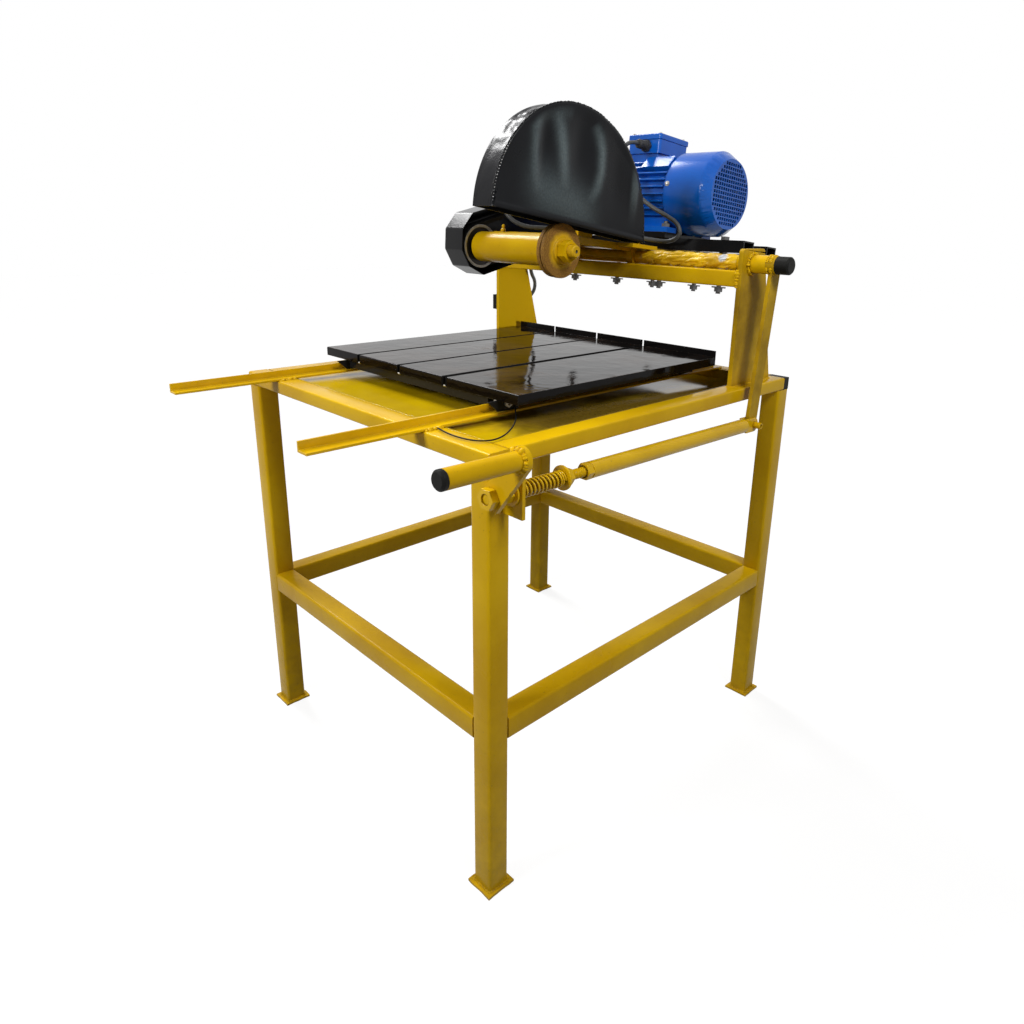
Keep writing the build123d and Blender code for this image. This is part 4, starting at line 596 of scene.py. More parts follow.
def make_stand():
    """Legs with foot plates, stretchers, top rails and cross beam of round-cornered tube."""
    legs, stretchers, rails, beam = bmesh.new(), bmesh.new(), bmesh.new(), bmesh.new()
    sides = {sign: sorted((sign * SIDE, sign * (SIDE - TUBE))) for sign in (-1, 1)}
    ends = {sign: sorted((sign * END, sign * (END - TUBE))) for sign in (-1, 1)}
    between_sides, between_ends = (TUBE - SIDE, SIDE - TUBE), (TUBE - END, END - TUBE)
    low, top = (STRETCHER_TOP - TUBE, STRETCHER_TOP), (LEG_TOP, STAND_TOP)
    for sx in (-1, 1):
        for sy in (-1, 1):
            add_bar(legs, sides[sx], ends[sy], (FOOT_THICK, LEG_TOP), 2, TUBE_CORNER)
            add_plate(legs, sx * (SIDE - TUBE / 2), sy * (END - TUBE / 2), sx + 3 * sy)
    for sign in (-1, 1):
        add_bar(stretchers, between_sides, ends[sign], low, 0, TUBE_CORNER)
        add_bar(stretchers, sides[sign], between_ends, low, 1, TUBE_CORNER)
        add_bar(rails, sides[sign], (TUBE - END, END - PLUG_HEAD), top, 1, RAIL_CORNER)
    add_bar(rails, (-SIDE, SIDE), ends[-1], top, 0, RAIL_CORNER)
    add_bar(rails, between_sides, ends[1], top, 0, RAIL_CORNER)
    add_bar(beam, (-UPRIGHT_IN, UPRIGHT_IN), (UPRIGHT_FRONT, UPRIGHT_FRONT + CROSS_DEPTH),
            (CROSS_TOP - CROSS_HEIGHT, CROSS_TOP), 0, CROSS_CORNER)
    made = (("stand_legs", legs, "legs_with_feet"), ("stand_stretchers", stretchers, "stretchers"),
            ("stand_top_rails", rails, "top_rails"), ("head_cross_beam", beam, "cross_beam"))
    for name, bm, node in made:
        settle(name, from_bmesh(name, bm), yellow_paint, "frame", [node])


# The foot plates' edges wander the same way on every run.
WANDER_SEED = 4
noise.seed_set(WANDER_SEED)
make_stand()

BODIES = {node: body for body, nodes in frame["record"]["behaviour"]["bodies"].items() for node in nodes}


def eased(node, material, width):
    """A piece like its solid, with the sharp edges broken as on real steel."""
    bm = bmesh.new()
    bm.from_mesh(frame["nodes"][node].data)
    bmesh.ops.remove_doubles(bm, verts=bm.verts, dist=1e-6)
    bmesh.ops.dissolve_limit(bm, angle_limit=math.radians(0.5), verts=bm.verts, edges=bm.edges,
                             use_dissolve_boundaries=False, delimit=set())
    mesh = from_bmesh(node, bm, outwards=False)
    mesh.shade_smooth()
    bevel = {"width": width * MM, "segments": 2, "limit_method": "ANGLE", "angle_limit": math.radians(38),
             "use_clamp_overlap": True}
    mesh = finished(mesh, ("BEVEL", bevel), ("WEIGHTED_NORMAL", {"keep_sharp": True}))
    settle(node + "_finished", mesh, material, BODIES[node], [node], crease=None)


# Pieces whose solid has the right shape, with the width of their broken edges
EASED = (
    (yellow_smudged, 1.0, ("uprights", "lever_arm")),
    (yellow_paint, 1.0, ("screw_bracket", "head_plate", "head_brackets", "crank_web")),
    (yellow_paint, 0.7, ("axle_bosses", "pivot_axle", "spindle_housing", "spindle_nut", "grip_tube",
                         "rod_pin")),
    (yellow_gloss, 0.7, ("track_rails", "push_rod", "screw_washers", "screw_nuts")),
    (flange_rust, 0.9, ("outer_flange",)),
    (flange_rust, 0.5, ("spindle_shaft",)),
    (table_black, 0.8, ("tray_strips",)),
    (black_gloss, 0.7, ("tray_frame", "roller_brackets", "slide_bars", "motor_base")),
    (black_gloss, 1.4, ("belt_cover",)),
    (bare_steel, 0.6, ("roller_front_left", "roller_front_right", "roller_rear_left", "roller_rear_right",
                       "roller_bolts", "guard_bolts")),
    (dark_steel, 0.6, ("motor_studs",)),
    (pulley_face, 0.6, ("driven_pulley",)),
    (cast_grey, 0.6, ("drive_pulley",)),
    (motor_blue, 0.7, ("motor_body", "fan_cover", "terminal_box", "terminal_lid")),
    (black_plastic, 0.7, ("rail_plugs", "axle_caps", "grip_cap", "switch_box", "switch_rocker")),
    (gland_grey, 0.4, ("cable_gland",)),
    (pan_paint, 0.5, ("water_pan",)),
)
for paint, width, names in EASED:
    for name in names:
        eased(name, paint, width)

# Pieces that keep their solid
KEPT = (
    (dark_steel, ("motor_shaft", "spindle_bearings")),
    (yellow_paint, ("grease_nipple",)),
    (black_plastic, ("cooling_fan",)),
    (belt_rubber, ("drive_belts",)),
)
for finish, names in KEPT:
    for name in names:
        node = frame["nodes"][name]
        node.data.materials.clear()
        node.data.materials.append(finish)


# Cords

def route_points(name, route):
    """Points along a smooth line that has the route's points as its control points."""
    curve = bpy.data.curves.new(name, "CURVE")
    curve.dimensions = "3D"
    curve.resolution_u = 10
    spline = curve.splines.new("NURBS")
    spline.points.add(len(route) - 1)
    for point, place in zip(spline.points, route):
        point.co = (*at(*place), 1.0)
    spline.order_u = 3
    spline.use_endpoint_u = True
    line = evaluated(bpy.data.objects.new(name, curve))
    return [vertex.co.copy() for vertex in line.vertices]


def tube_mesh(name, points, radius, sides):
    """A round tube along points, with closed ends."""
    heading = (points[1] - points[0]).normalized()
    across = heading.orthogonal().normalized()
    spokes = []
    for number in range(len(points)):
        ahead = (points[min(number + 1, len(points) - 1)] - points[max(number - 1, 0)]).normalized()
        across = heading.rotation_difference(ahead) @ across
        heading = ahead
        spokes.append((across, heading.cross(across)))

    def place(number, angle):
        first, second = spokes[number]
        return points[number] + (first * math.cos(angle) + second * math.sin(angle)) * radius

    return ringed(name, len(points), sides, place)


def make_cable():
    """The cable from the motor's gland to the switch."""
    points = route_points("cable_line", CABLE_ROUTE)
    mesh = tube_mesh("motor_lead", points, CABLE_R * MM, sides=12)
    mesh.shade_smooth()
    piece = new_piece("motor_lead", mesh, cable_sheath)
    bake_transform(piece)
    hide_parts("motor_cable", "switch_cable")


def make_wire():
    """The thin tie wire that trails from the front right roller bracket."""
    points = route_points("wire_line", WIRE_ROUTE)
    mesh = tube_mesh("trailing_wire", points, WIRE_R * MM, sides=8)
    piece = settle("trailing_wire", mesh, black_plastic, "tray", ["tie_wire"])


make_cable()
make_wire()


# Pieces that follow a rule, made with Geometry Nodes

def grown(name, base, tree, values):
    """The plain mesh that a node tree makes from a base mesh."""
    helper = bpy.data.objects.new(name, base)
    modifier = helper.modifiers.new(name, "NODES")
    modifier.node_group = tree
    for item in tree.interface.items_tree:
        if item.in_out == "INPUT" and item.name in values:
            modifier[item.identifier] = values[item.name]
    return evaluated(helper)


def one_mesh(board, geometry, material):
    """The end of a tree: one real mesh in one material."""
    whole = board.add("GeometryNodeRealizeInstances", {"Geometry": geometry})
    return {"Geometry": board.add("GeometryNodeSetMaterial", {"Geometry": whole, "Material": material})}


def coil(board, value):
    """A compression spring: close turns at both ends and open turns between them."""
    steps, closed_turns = 440, 3.0
    line = board.add("GeometryNodeMeshLine", {"Count": steps + 1, "Offset": (0.0, 0.0, 0.001)})
    curve = board.add("GeometryNodeMeshToCurve", {"Mesh": line})
    along = board.math("DIVIDE", board.add("GeometryNodeInputIndex"), float(steps))
    turns = board.times(along, board.plus(value["Open Turns"], closed_turns))
    angle = board.times(turns, 2 * math.pi)
    middle = board.math("MAXIMUM", board.minus(turns, 1.0), 0.0)
    middle = board.math("MINIMUM", middle, value["Open Turns"])
    closed_climb = board.times(board.minus(turns, middle), value["Closed Pitch"])
    climb = board.plus(closed_climb, board.times(middle, value["Open Pitch"]))
    place = {
        "X": board.times(board.math("COSINE", angle), value["Coil Radius"]),
        "Y": board.times(board.math("SINE", angle), value["Coil Radius"]),
        "Z": board.plus(climb, value["Start"]),
    }
    place = board.add("ShaderNodeCombineXYZ", place)
    bent = board.add("GeometryNodeSetPosition", {"Geometry": curve, "Position": place})
    ring = board.add("GeometryNodeCurvePrimitiveCircle", {"Resolution": 14, "Radius": value["Wire Radius"]})
    wire = board.add("GeometryNodeCurveToMesh", {"Curve": bent, "Profile Curve": ring, "Fill Caps": True})
    return one_mesh(board, wire, value["Material"])


def weld_bead(board, value):
    """Overlapping beads along weld lines."""
    line = board.add("GeometryNodeMeshToCurve", {"Mesh": value["Geometry"]})
    spaced = board.add("GeometryNodeResampleCurve", {"Curve": line, "Length": value["Step"]}, mode="LENGTH")
    drop = board.add("GeometryNodeMeshIcoSphere", {"Radius": value["Bead"], "Subdivisions": 2})
    squeezed = board.add("GeometryNodeTransform", {"Geometry": drop, "Scale": (1.0, 0.8, 0.62)})
    tangent = board.add("GeometryNodeInputTangent")
    turn = board.add("FunctionNodeAlignRotationToVector", {"Vector": tangent}, axis="Z")
    size = board.node("FunctionNodeRandomValue", {"Seed": value["Seed"]}, data_type="FLOAT")
    board.tree.links.new(board.minus(1.0, value["Uneven"]), live(size.inputs, "Min"))
    board.tree.links.new(board.plus(1.0, value["Uneven"]), live(size.inputs, "Max"))
    values = {"Points": spaced, "Instance": squeezed, "Rotation": turn, "Scale": live(size.outputs)}
    return one_mesh(board, board.add("GeometryNodeInstanceOnPoints", values), value["Material"])


def screw_heads(board, value):
    """Hexagon screw heads on washers, one at each point, standing along the point's facing."""
    radius, tall = board.math("DIVIDE", value["Across"], math.sqrt(3)), value["Tall"]
    head = {"Vertices": 6, "Radius": radius, "Depth": tall}
    crown = {"Vertices": 12, "Radius Top": board.times(radius, 0.55),
             "Radius Bottom": board.times(radius, 0.86), "Depth": board.times(tall, 0.18)}
    washer = {"Vertices": 20, "Radius": value["Washer"], "Depth": board.times(tall, 0.6)}
    joined = board.node("GeometryNodeJoinGeometry")
    for form, values, height in (("Cylinder", head, 0.75), ("Cone", crown, 1.25), ("Cylinder", washer, 0.0)):
        mesh = board.add("GeometryNodeMesh" + form, values)
        up = board.add("ShaderNodeCombineXYZ", {"Z": board.times(tall, height)})
        raised = board.add("GeometryNodeTransform", {"Geometry": mesh, "Translation": up})
        board.fill(joined, {"Geometry": raised})
    facing = board.add("GeometryNodeInputNamedAttribute", {"Name": "facing"}, data_type="FLOAT_VECTOR")
    turn = board.add("FunctionNodeAlignRotationToVector", {"Vector": facing}, axis="Z")
    values = {"Points": value["Geometry"], "Instance": live(joined.outputs), "Rotation": turn}
    return one_mesh(board, board.add("GeometryNodeInstanceOnPoints", values), value["Material"])


COIL_INPUTS = {"Geometry": None, "Coil Radius": 0.01, "Wire Radius": 0.0017, "Closed Pitch": 0.0042,
               "Open Pitch": 0.0094, "Open Turns": 8.0, "Start": 0.0, "Material": None}
WELD_INPUTS = {"Geometry": None, "Bead": 0.003, "Step": 0.002, "Uneven": 0.3, "Seed": 1, "Material": None}
SCREW_INPUTS = {"Geometry": None, "Across": 0.008, "Tall": 0.004, "Washer": 0.006, "Material": None}
COIL = new_group("coil", COIL_INPUTS, coil, "GeometryNodeTree")
WELD = new_group("weld_bead", WELD_INPUTS, weld_bead, "GeometryNodeTree")
SCREWS = new_group("screw_heads", SCREW_INPUTS, screw_heads, "GeometryNodeTree")


def make_spring():
    """The spring on the screw, with the same turns as its solid."""
    values = {
        "Coil Radius": SPRING_R, "Wire Radius": SPRING_WIRE_R, "Closed Pitch": SPRING_CLOSED_PITCH,
        "Open Pitch": SPRING_OPEN_PITCH, "Open Turns": float(SPRING_OPEN_TURNS),
        "Start": SPRING_SEAT + SPRING_GAP + SPRING_WIRE_R, "Material": yellow_gloss,
    }
    mesh = grown("screw_spring", bpy.data.meshes.new("coil_seed"), COIL, values)
    mesh.transform(ALONG_ROD)
    settle("screw_spring", mesh, yellow_gloss, "frame", ["rod_spring"])


def weld_lines(name, lines, body, bead, seed, uneven=0.28, step=0.62, material=yellow_paint):
    """Weld beads along lines of points that are already in place."""
    points, edges = [], []
    for line in lines:
        first = len(points)
        points += [tuple(point) for point in line]
        edges += [(first + number, first + number + 1) for number in range(len(line) - 1)]
    base = bpy.data.meshes.new(name)
    base.from_pydata(points, edges, [])
    values = {"Bead": bead * MM, "Step": bead * step * MM, "Uneven": uneven, "Seed": seed,
              "Material": material}
    settle(name, grown(name, base, WELD, values), material, body, crease=60)


def ring_line(place, radius, station, first=0.0, last=360.0, count=40):
    """A circle about the X axis of a placed drawing."""
    line = []
    for number in range(count + 1):
        angle = math.radians(first + (last - first) * number / count)
        line.append(place @ Vector((station, radius * math.cos(angle), radius * math.sin(angle))))
    return line


def add_welds():
    """Weld beads on the stand, the lever, the crank's grip and the table."""
    light, heavy = [], []
    axle = BENCH @ Matrix.Translation((0, AXLE_Y, AXLE_Z))
    front, back = UPRIGHT_FRONT, UPRIGHT_FRONT + UPRIGHT_BASE_DEPTH
    half, end_gap, boss_bead = TUBE / 2, 5, 2
    for sign in (-1, 1):
        out, inside = sign * UPRIGHT_OUT, sign * UPRIGHT_IN
        for x in (out, inside):
            light.append([at(x, front, STAND_TOP), at(x, back, STAND_TOP)])
        light.append([at(inside, front, STAND_TOP), at(out, front, STAND_TOP)])
        light.append([at(inside, front, CROSS_TOP), at(inside, front + CROSS_DEPTH, CROSS_TOP)])
        heavy.append([at(inside, front, CROSS_TOP), at(inside, front, CROSS_TOP - CROSS_HEIGHT)])
        heavy.append(ring_line(axle, BOSS_R + boss_bead, out))
        for end in (-1, 1):
            x, y = sign * (SIDE - half), end * (END - half)
            corners = ((-1, -1), (1, -1), (1, 1), (-1, 1), (-1, -1))
            light.append([at(x + a * half, y + b * half, FOOT_THICK) for a, b in corners])
    for track in TRACKS:
        foot = track + TRACK_FOOT
        heavy.append([at(foot, end_gap - END, STAND_TOP), at(foot, TUBE - END - end_gap, STAND_TOP)])
    for y in (SCREW_Y - BRACKET_HALF, SCREW_Y + BRACKET_HALF):
        light.append([at(SIDE, y, z) for z in BRACKET_WELD])
    weld_lines("stand_welds", light, "frame", bead=2.2, seed=3)
    weld_lines("heavy_welds", heavy, "frame", bead=4.2, seed=5, uneven=0.45)
    grip = ROD @ Matrix.Translation((CRANK_SIDE, WEB_BACK - WEB_THICK, CRANK_RISE))
    grip = grip @ Matrix.Rotation(QUARTER_TURN, 4, "Z")
    weld_lines("crank_welds", [ring_line(grip, GRIP_R, 0)], "crank", bead=4.8, seed=7, uneven=0.5)
    lever = [ring_line(axle, BOSS_R, ROD_X + side, 200, 520) for side in (-LEVER_HALF, LEVER_HALF)]
    weld_lines("lever_welds", lever, "head", bead=2.4, seed=9)
    across, inset = 3, 2
    tray = [[at(groove + side, TRAY_FRONT + inset, TRAY_WELD_Z) for side in (-across, across)]
            for groove in TRAY_GROOVES]
    weld_lines("tray_welds", tray, "tray", bead=2.0, seed=11, material=bare_steel)


def make_thread(name, radius, pitch, depth, start, end, line, body, finish, stands_for=()):
    """A screw thread along a line, as a rod whose surface winds."""
    sides, per_turn, run_out, crest = 28, 6, 1.5, 1.15
    count = int((end - start) / pitch * per_turn)

    def place(number, angle):
        station = start + (end - start) * number / count
        taper = min(1.0, (station - start) / run_out, (end - station) / run_out)
        wave = abs(((station / pitch - angle / (2 * math.pi)) % 1.0) * 2 - 1)
        r = radius - depth * max(1 - wave * crest, 0.0) - (1 - taper) * depth
        return line @ Vector((r * math.cos(angle), r * math.sin(angle), station))

    settle(name, ringed(name, count + 1, sides, place), finish, body, stands_for, crease=50)


make_spring()
add_welds()
make_thread("crank_screw_thread", SCREW_R, SCREW_PITCH, SCREW_DEPTH, SCREW_START, SCREW_END, ALONG_ROD,
            "crank", yellow_paint, ["crank_screw"])
make_thread("spindle_thread", TIP_R, TIP_PITCH, TIP_DEPTH, TIP_START, TIP_END, ALONG_SPINDLE, "spindle",
            flange_rust)


# Film crumpled round the axle

def film_height(x, angle):
    """How far the crumpled film stands off the axle at a place along it and round it."""
    wind, fold_along, fold_round, small_along, small_round = 0.016, 0.030, 1.7, 0.12, 3
    fold_height, swell_height, small_height, least = 2.6, 1.8, 0.7, 0.4
    twist = angle + x * wind
    c, s = math.cos(twist), math.sin(twist)
    probe = Vector((x * fold_along, c * fold_round, s * fold_round))
    cells = noise.voronoi(probe)[0]
    fold = min(cells[1] - cells[0], 0.5) / 0.5
    swell = noise.noise(probe * 0.9)
    small = noise.noise(Vector((x * small_along, c * small_round, s * small_round)))
    return max(0.0, fold_height * fold + swell_height * swell + small_height * small + least)


def make_film_wrap():
    """A thin film wound on the axle and crumpled into creases."""
    around, along, flat_end, clear = 72, 240, 12, 0.45

    def place(number, angle):
        x = WRAP_START + (WRAP_END - WRAP_START) * number / along
        ends = min(1.0, number / flat_end, (along - number) / flat_end)
        r = AXLE_R + clear + ends * film_height(x, angle)
        return at(x, AXLE_Y + r * math.cos(angle), AXLE_Z + r * math.sin(angle))

    mesh = ringed("axle_film", along + 1, around, place, caps=False)
    mesh = finished(mesh, ("SOLIDIFY", {"thickness": 0.0003, "offset": -1.0}))
    settle("axle_film", mesh, film, "head", ["axle_wrap"], crease=30)


make_film_wrap()


# Blade guard

def guard_edge(share, inset=0.0):
    """A point on the guard's outline in the head's drawing, from the front foot to the rear foot."""
    front_r, rear_r, top = GUARD_FRONT_R - inset, GUARD_REAR_R - inset, GUARD_TOP - inset
    front_drop = top - front_r - GUARD_FRONT_LOW
    rear_drop = max(top - rear_r - GUARD_REAR_LOW, 0.0)
    front_arc, rear_arc = front_r * math.pi / 2, rear_r * math.pi / 2
    run = share * (front_drop + front_arc + rear_arc + rear_drop)
    if run < front_drop:
        return Vector((GUARD_CREST - front_r, GUARD_FRONT_LOW + run))
    run -= front_drop
    if run < front_arc:
        angle = math.pi - run / front_r
        return Vector((GUARD_CREST + front_r * math.cos(angle), top - front_r + front_r * math.sin(angle)))
    run -= front_arc
    if run < rear_arc:
        angle = math.pi / 2 - run / rear_r
        return Vector((GUARD_CREST + rear_r * math.cos(angle), top - rear_r + rear_r * math.sin(angle)))
    return Vector((GUARD_CREST + rear_r, top - rear_r - (run - rear_arc)))


DENTS = (
    # middle along Y, middle along Z, half width, half height, depth
    (-333, 158, 22, 50, 8.0),
    (-242, 172, 36, 64, 9.0),
    (-138, 150, 34, 66, 4.0),
)
SWELLS = (
    (-359, 150, 13, 58, 2.0),
    (-190, 165, 13, 58, 2.0),
    (-288, 72, 88, 32, 2.5),
    (-83, 126, 13, 40, 3.0),
)
# Where the guard's face gets a painted highlight: along ridges between the dents, and in slanted patches
# below them
RIDGES = (
    # half width, painted highlight strength, then points along the ridge
    (11, 0.62, (-330, 224), (-352, 208), (-361, 186), (-360, 151), (-356, 110), (-344, 84)),
    (13, 0.95, (-318, 230), (-300, 196), (-290, 165), (-284, 132), (-280, 96)),
    (10, 0.95, (-212, 222), (-197, 200), (-188, 176), (-186, 140), (-194, 110), (-212, 84)),
    (13, 0.40, (-340, 220), (-318, 230), (-294, 232), (-272, 228)),
)
CLOUDS = (
    # middle along Y, middle along Z, half width, half height, painted highlight strength
    (-282, 78, 86, 40, 0.55),
    (-83, 126, 11, 38, 0.6),
)
CLOUD_SLANT = -0.2
# The hem along the foot: its height, its largest share of a short column, and its rows as shares of it
HEM, HEM_MOST, HEM_PARTS = 10, 0.3, (0.0, 0.25, 0.8, 1.0)
HEM_STANDS_OUT, HEM_ROWS = 1.8, len(HEM_PARTS) - 1
GUARD_ROLL, GUARD_SHEET = 5.0, 2.0
# The rim is beaten in most at one share of its length
BEATEN_AT, BEATEN_SPAN, BEATEN_DEPTH, BEATEN_LEAST, BEATEN_WAVE = 0.30, 0.2, 4.5, 0.4, 0.055
# Marks the rim's points, which have a paint of their own
ON_RIM = -1.0


def guard_face_lift(y, z):
    """How far the guard's face stands out or in at a place."""
    lift = 0.0
    for sign, shapes in ((-1, DENTS), (1, SWELLS)):
        for my, mz, wide, tall, depth in shapes:
            lift += sign * depth * math.exp(-(((y - my) / wide) ** 2 + ((z - mz) / tall) ** 2))
    return lift


def guard_sheen(y, z):
    """How much painted highlight the guard's face gets at a place: along the ridges between the dents and
    below them.
    """
    dull = 1.0
    place = Vector((y, z))
    for wide, bright, *line in RIDGES:
        near, run = math.inf, 0.0
        for number, (first, second) in enumerate(zip(line, line[1:])):
            first, second = Vector(first), Vector(second)
            share = (place - first).dot(second - first) / (second - first).length_squared
            share = min(max(share, 0.0), 1.0)
            away = (place - first.lerp(second, share)).length
            if away < near:
                near, run = away, (number + share) / (len(line) - 1)
        fade = math.sin(math.pi * run) ** 0.6 if 0.0 < run < 1.0 else 0.0
        dull *= 1 - bright * fade * math.exp(-(near / wide) ** 2)
    for my, mz, wide, tall, bright in CLOUDS:
        off = z - mz - CLOUD_SLANT * (y - my)
        dull *= 1 - bright * math.exp(-(((y - my) / wide) ** 4 + (off / tall) ** 2))
    return 1 - dull


def guard_column(share):
    """One line across the guard's outer side, rim and inner side, in the head's drawing, with its painted
    highlight.
    """
    rows, turn_steps, rim_steps, inner_rows, fade_rows = 44, 4, 14, 8, 4
    rim, inner = guard_edge(share), guard_edge(share, GUARD_ROLL)
    slope = (GUARD_REAR_LOW - GUARD_FRONT_LOW) / (GUARD_FRONT_R + GUARD_REAR_R)
    foot = Vector((rim.x, GUARD_FRONT_LOW + slope * (rim.x - (GUARD_CREST - GUARD_FRONT_R))))
    inner.y = max(inner.y, foot.y)
    tall = (inner - foot).length
    hem = min(HEM, tall * HEM_MOST)
    heights = [hem * part for part in HEM_PARTS]
    heights += [hem + (tall - hem) * row / rows for row in range(1, rows + 1)]
    column = []
    for number, height in enumerate(heights):
        place = foot.lerp(inner, height / tall if tall else 0.0)
        fade = min(1.0, (len(heights) - 1 - number) / fade_rows)
        lift = guard_face_lift(place.x, place.y)
        out = HEM_STANDS_OUT if 0 < number < HEM_ROWS else 0.0
        # The outer face gets its painted highlight; the hem gets none.
        shine = guard_sheen(place.x, place.y) if number > HEM_ROWS else 0.0
        column.append((Vector((GUARD_RIGHT + fade * (lift + out), place.x, place.y)), fade * shine))
    start = GUARD_RIGHT - GUARD_ROLL / 2
    for step in range(1, turn_steps + 1):
        angle = math.pi / 2 * step / turn_steps
        place = inner.lerp(rim, math.sin(angle))
        column.append((Vector((start + GUARD_ROLL / 2 * math.cos(angle), place.x, place.y)), 0.0))
    beaten = BEATEN_DEPTH * max(0.0, 1 - abs(share - BEATEN_AT) / BEATEN_SPAN) + BEATEN_LEAST
    deep = 10
    for step in range(1, rim_steps + 1):
        x = start + (GUARD_LEFT - start) * step / rim_steps
        probe = Vector((x, rim.x, rim.y)) * BEATEN_WAVE
        sink = beaten * max(0.0, noise.noise(probe) + 0.25) * min(1.0, (rim_steps - step) / 2)
        place = rim.lerp(guard_edge(share, deep), sink / deep)
        column.append((Vector((x, place.x, place.y)), ON_RIM))
    for row in range(1, inner_rows + 1):
        place = rim.lerp(foot, row / inner_rows)
        column.append((Vector((GUARD_LEFT, place.x, place.y)), 0.0))
    return column


def guard_line(first, last, inset, x):
    """A line along part of the guard's outline, for a weld."""
    count = 159
    line = []
    for number in range(count + 1):
        rim = guard_edge(first + (last - first) * number / count, inset)
        line.append(HEAD @ Vector((x, rim.x, rim.y)))
    return line


def make_guard():
    """A welded guard: two side sheets and a rim, open below, with a dented outer side."""
    around = 150
    bm = bmesh.new()
    # Each point keeps its painted highlight, or ON_RIM on the rim, whose faces get the rim's paint.
    layer = bm.verts.layers.float.new("sheen")
    columns = []
    for number in range(around + 1):
        column = []
        for point, shine in guard_column(number / around):
            vertex = bm.verts.new(HEAD @ point)
            vertex[layer] = shine
            column.append(vertex)
        columns.append(column)
    for first, second in zip(columns, columns[1:]):
        for row in range(len(first) - 1):
            bm.faces.new((first[row], second[row], second[row + 1], first[row + 1]))
    bmesh.ops.remove_doubles(bm, verts=bm.verts, dist=2e-5)
    bmesh.ops.dissolve_degenerate(bm, edges=bm.edges, dist=1e-6)
    sheet = {"thickness": GUARD_SHEET * MM, "offset": -1.0, "use_rim": True}
    mesh = finished(from_bmesh("saw_guard", bm), ("SOLIDIFY", sheet))
    settle("saw_guard", mesh, guard_black, "head", ["blade_guard"], crease=50)
    mesh.materials.append(rim_black)
    sheen = [item.value for item in mesh.attributes["sheen"].data]
    for face in mesh.polygons:
        if all(sheen[vertex] < 0 for vertex in face.vertices):
            face.material_index = 1
    seam_in, stitches_in = 2.6, 0.6
    seam = guard_line(0.02, 0.98, 0.0, GUARD_RIGHT - seam_in)
    stitches = guard_line(0.015, 0.165, 1.0, GUARD_RIGHT - stitches_in)
    weld_lines("guard_seam", [seam], "head", bead=1.7, seed=13, uneven=0.35, step=1.5,
               material=black_gloss)
    weld_lines("guard_stitches", [stitches], "head", bead=1.1, seed=15, uneven=0.4, step=4.6,
               material=cast_grey)


make_guard()


# Screw heads on the motor

def screw_points(name, places, material, across, tall, washer):
    """Screw heads at places of the motor's drawing, each a point and the way that the head faces."""
    base = bpy.data.meshes.new(name)
    base.from_pydata([tuple(MOTOR @ Vector(point)) for point, facing in places], [], [])
    attribute = base.attributes.new("facing", "FLOAT_VECTOR", "POINT")
    for item, (point, facing) in zip(attribute.data, places):
        item.vector = (MOTOR.to_3x3() @ Vector(facing)).normalized()
    values = {"Across": across * MM, "Tall": tall * MM, "Washer": washer * MM, "Material": material}
    settle(name, grown(name, base, SCREWS, values), material, "head", crease=30)


def ways(angles):
    """The ways across the motor's line that angles about it point."""
    return [(math.cos(math.radians(angle)), math.sin(math.radians(angle))) for angle in angles]


def add_screws():
    """Screws of the fan cover, the drive-end shield and the terminal lid."""
    fan = [((FAN_SCREW_X, FAN_COVER_R * y, FAN_COVER_R * z), (0, y, z)) for y, z in ways(FAN_SCREWS)]
    shield = [((SHIELD_X, SHIELD_SCREW_R * y, SHIELD_SCREW_R * z), (-1, 0, 0))
              for y, z in ways(SHIELD_SCREWS)]
    lid = [((x, y, LID_TOP), (0, 0, 1)) for x in LID_SCREWS_X for y in LID_SCREWS_Y]
    screw_points("fan_cover_screws", fan, bare_steel, across=7, tall=3.5, washer=5.5)
    screw_points("shield_screws", shield, motor_blue, across=9, tall=4.5, washer=6.5)
    screw_points("lid_screws", lid, bare_steel, across=6, tall=2.6, washer=4.6)


add_screws()


# Floor, light and camera

def background_ray(board):
    """1 for the rays that show the white background: from the camera, and off metal and glass."""
    path = board.node("ShaderNodeLightPath").outputs
    seen = board.plus(path["Is Camera Ray"], path["Is Glossy Ray"], clamp=True)
    return board.plus(seen, path["Is Transmission Ray"], clamp=True)


def add_lamp(name, kind, place, aim, power, **settings):
    """A lamp at a place, turned to what it lights."""
    lamp = bpy.data.lights.new(name, kind)
    lamp.energy = power
    for key, value in settings.items():
        setattr(lamp, key, value)
    lamp_object = bpy.data.objects.new(name, lamp)
    lamp_object.location = place
    lamp_object.rotation_euler = (Vector(aim) - Vector(place)).to_track_quat("-Z", "Y").to_euler()
    bpy.context.scene.collection.objects.link(lamp_object)


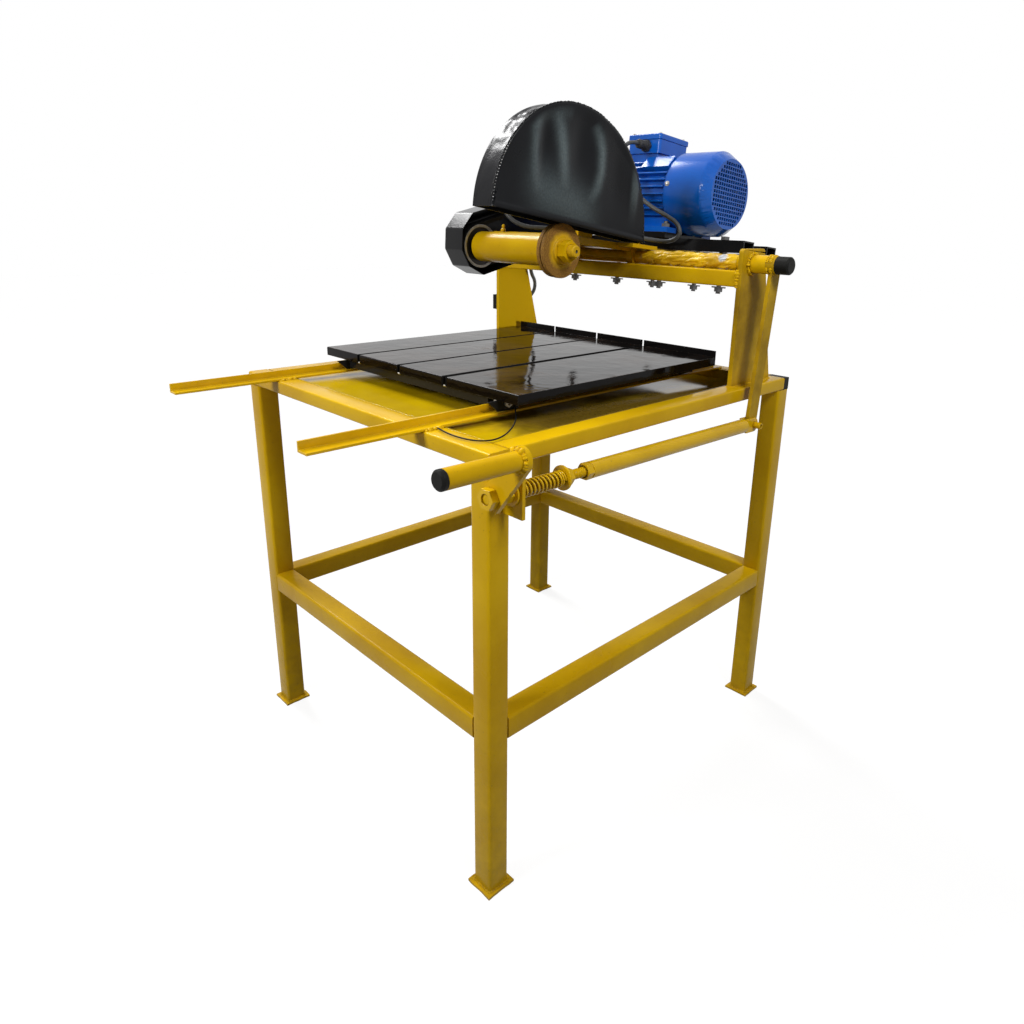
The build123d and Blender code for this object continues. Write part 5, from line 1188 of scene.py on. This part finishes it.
def make_floor():
    """A plain floor that the camera sees as white."""
    reach = 14.0
    corners = [(-reach, -reach, 0), (reach, -reach, 0), (reach, reach, 0), (-reach, reach, 0)]
    mesh = bpy.data.meshes.new("floor")
    mesh.from_pydata(corners, [], [(0, 1, 2, 3)])
    on = Surface("pale_floor")
    glow = on.times(background_ray(on), 0.84)
    on.fill(on.shader, {"Emission Strength": glow, "Emission Color": (1, 1, 1, 1)})
    colour = on.mix(on.noise(on.where, 1.5, 2.0), (0.22, 0.22, 0.22), (0.23, 0.23, 0.23))
    new_piece("floor", mesh, on.dress(colour=colour, rough=0.9, shine=0.0))


def make_world():
    """Soft light from all round, with a white background."""
    world = bpy.data.worlds.new("studio")
    bpy.context.scene.world = world
    world.use_nodes = True
    world.node_tree.nodes.clear()
    board = Board(world.node_tree)
    strength = board.spread(background_ray(board), 0.0, 1.0, 0.13, 1.0)
    sky = board.add("ShaderNodeBackground", {"Color": (1.0, 1.0, 1.0, 1), "Strength": strength})
    board.node("ShaderNodeOutputWorld", {"Surface": sky})


def add_lamps():
    """Two soft lamps, two suns, and a narrow lamp that reaches the left upright under the head."""
    middle, left_upright = (0.0, 0.0, 0.8), (-0.34, 0.29, 0.86)
    add_lamp("front", "AREA", (-0.2, -2.2, 1.9), middle, power=34, size=0.7)
    add_lamp("right", "AREA", (1.8, -0.3, 2.4), middle, power=30, size=0.7)
    add_lamp("overhead", "SUN", (-0.70, 0.05, 1.5), middle, power=2.5, angle=math.radians(22))
    add_lamp("side", "SUN", (1.7, 0.3, 1.85), middle, power=0.12, angle=math.radians(14))
    add_lamp("under_head", "SPOT", (1.2, -0.2, 0.96), left_upright, power=48, spot_size=math.radians(10),
             spot_blend=0.8)


def make_camera():
    """The camera fitted to the photograph."""
    focal, centre_x, centre_y, picture = 739.19, 553.53, 451.26, 1024
    stand_point = at(1090.15, -1026.49, 1054.19)
    data = bpy.data.cameras.new("camera")
    data.sensor_width = 36.0
    data.lens = focal / picture * data.sensor_width
    data.shift_x = (picture / 2 - centre_x) / picture
    data.shift_y = (centre_y - picture / 2) / picture
    camera = bpy.data.objects.new("camera", data)
    bpy.context.scene.collection.objects.link(camera)
    forward = Vector((-0.6683, 0.6830, -0.2947)).normalized()
    right = Vector((0.7095, 0.7043, 0.0230))
    right = (right - forward * right.dot(forward)).normalized()
    turn = Matrix((right, right.cross(forward), -forward)).transposed().to_4x4()
    camera.matrix_world = Matrix.Translation(stand_point) @ turn
    bpy.context.scene.camera = camera


make_floor()
make_world()
add_lamps()
make_camera()
bpy.context.scene.view_settings.view_transform = "Standard"
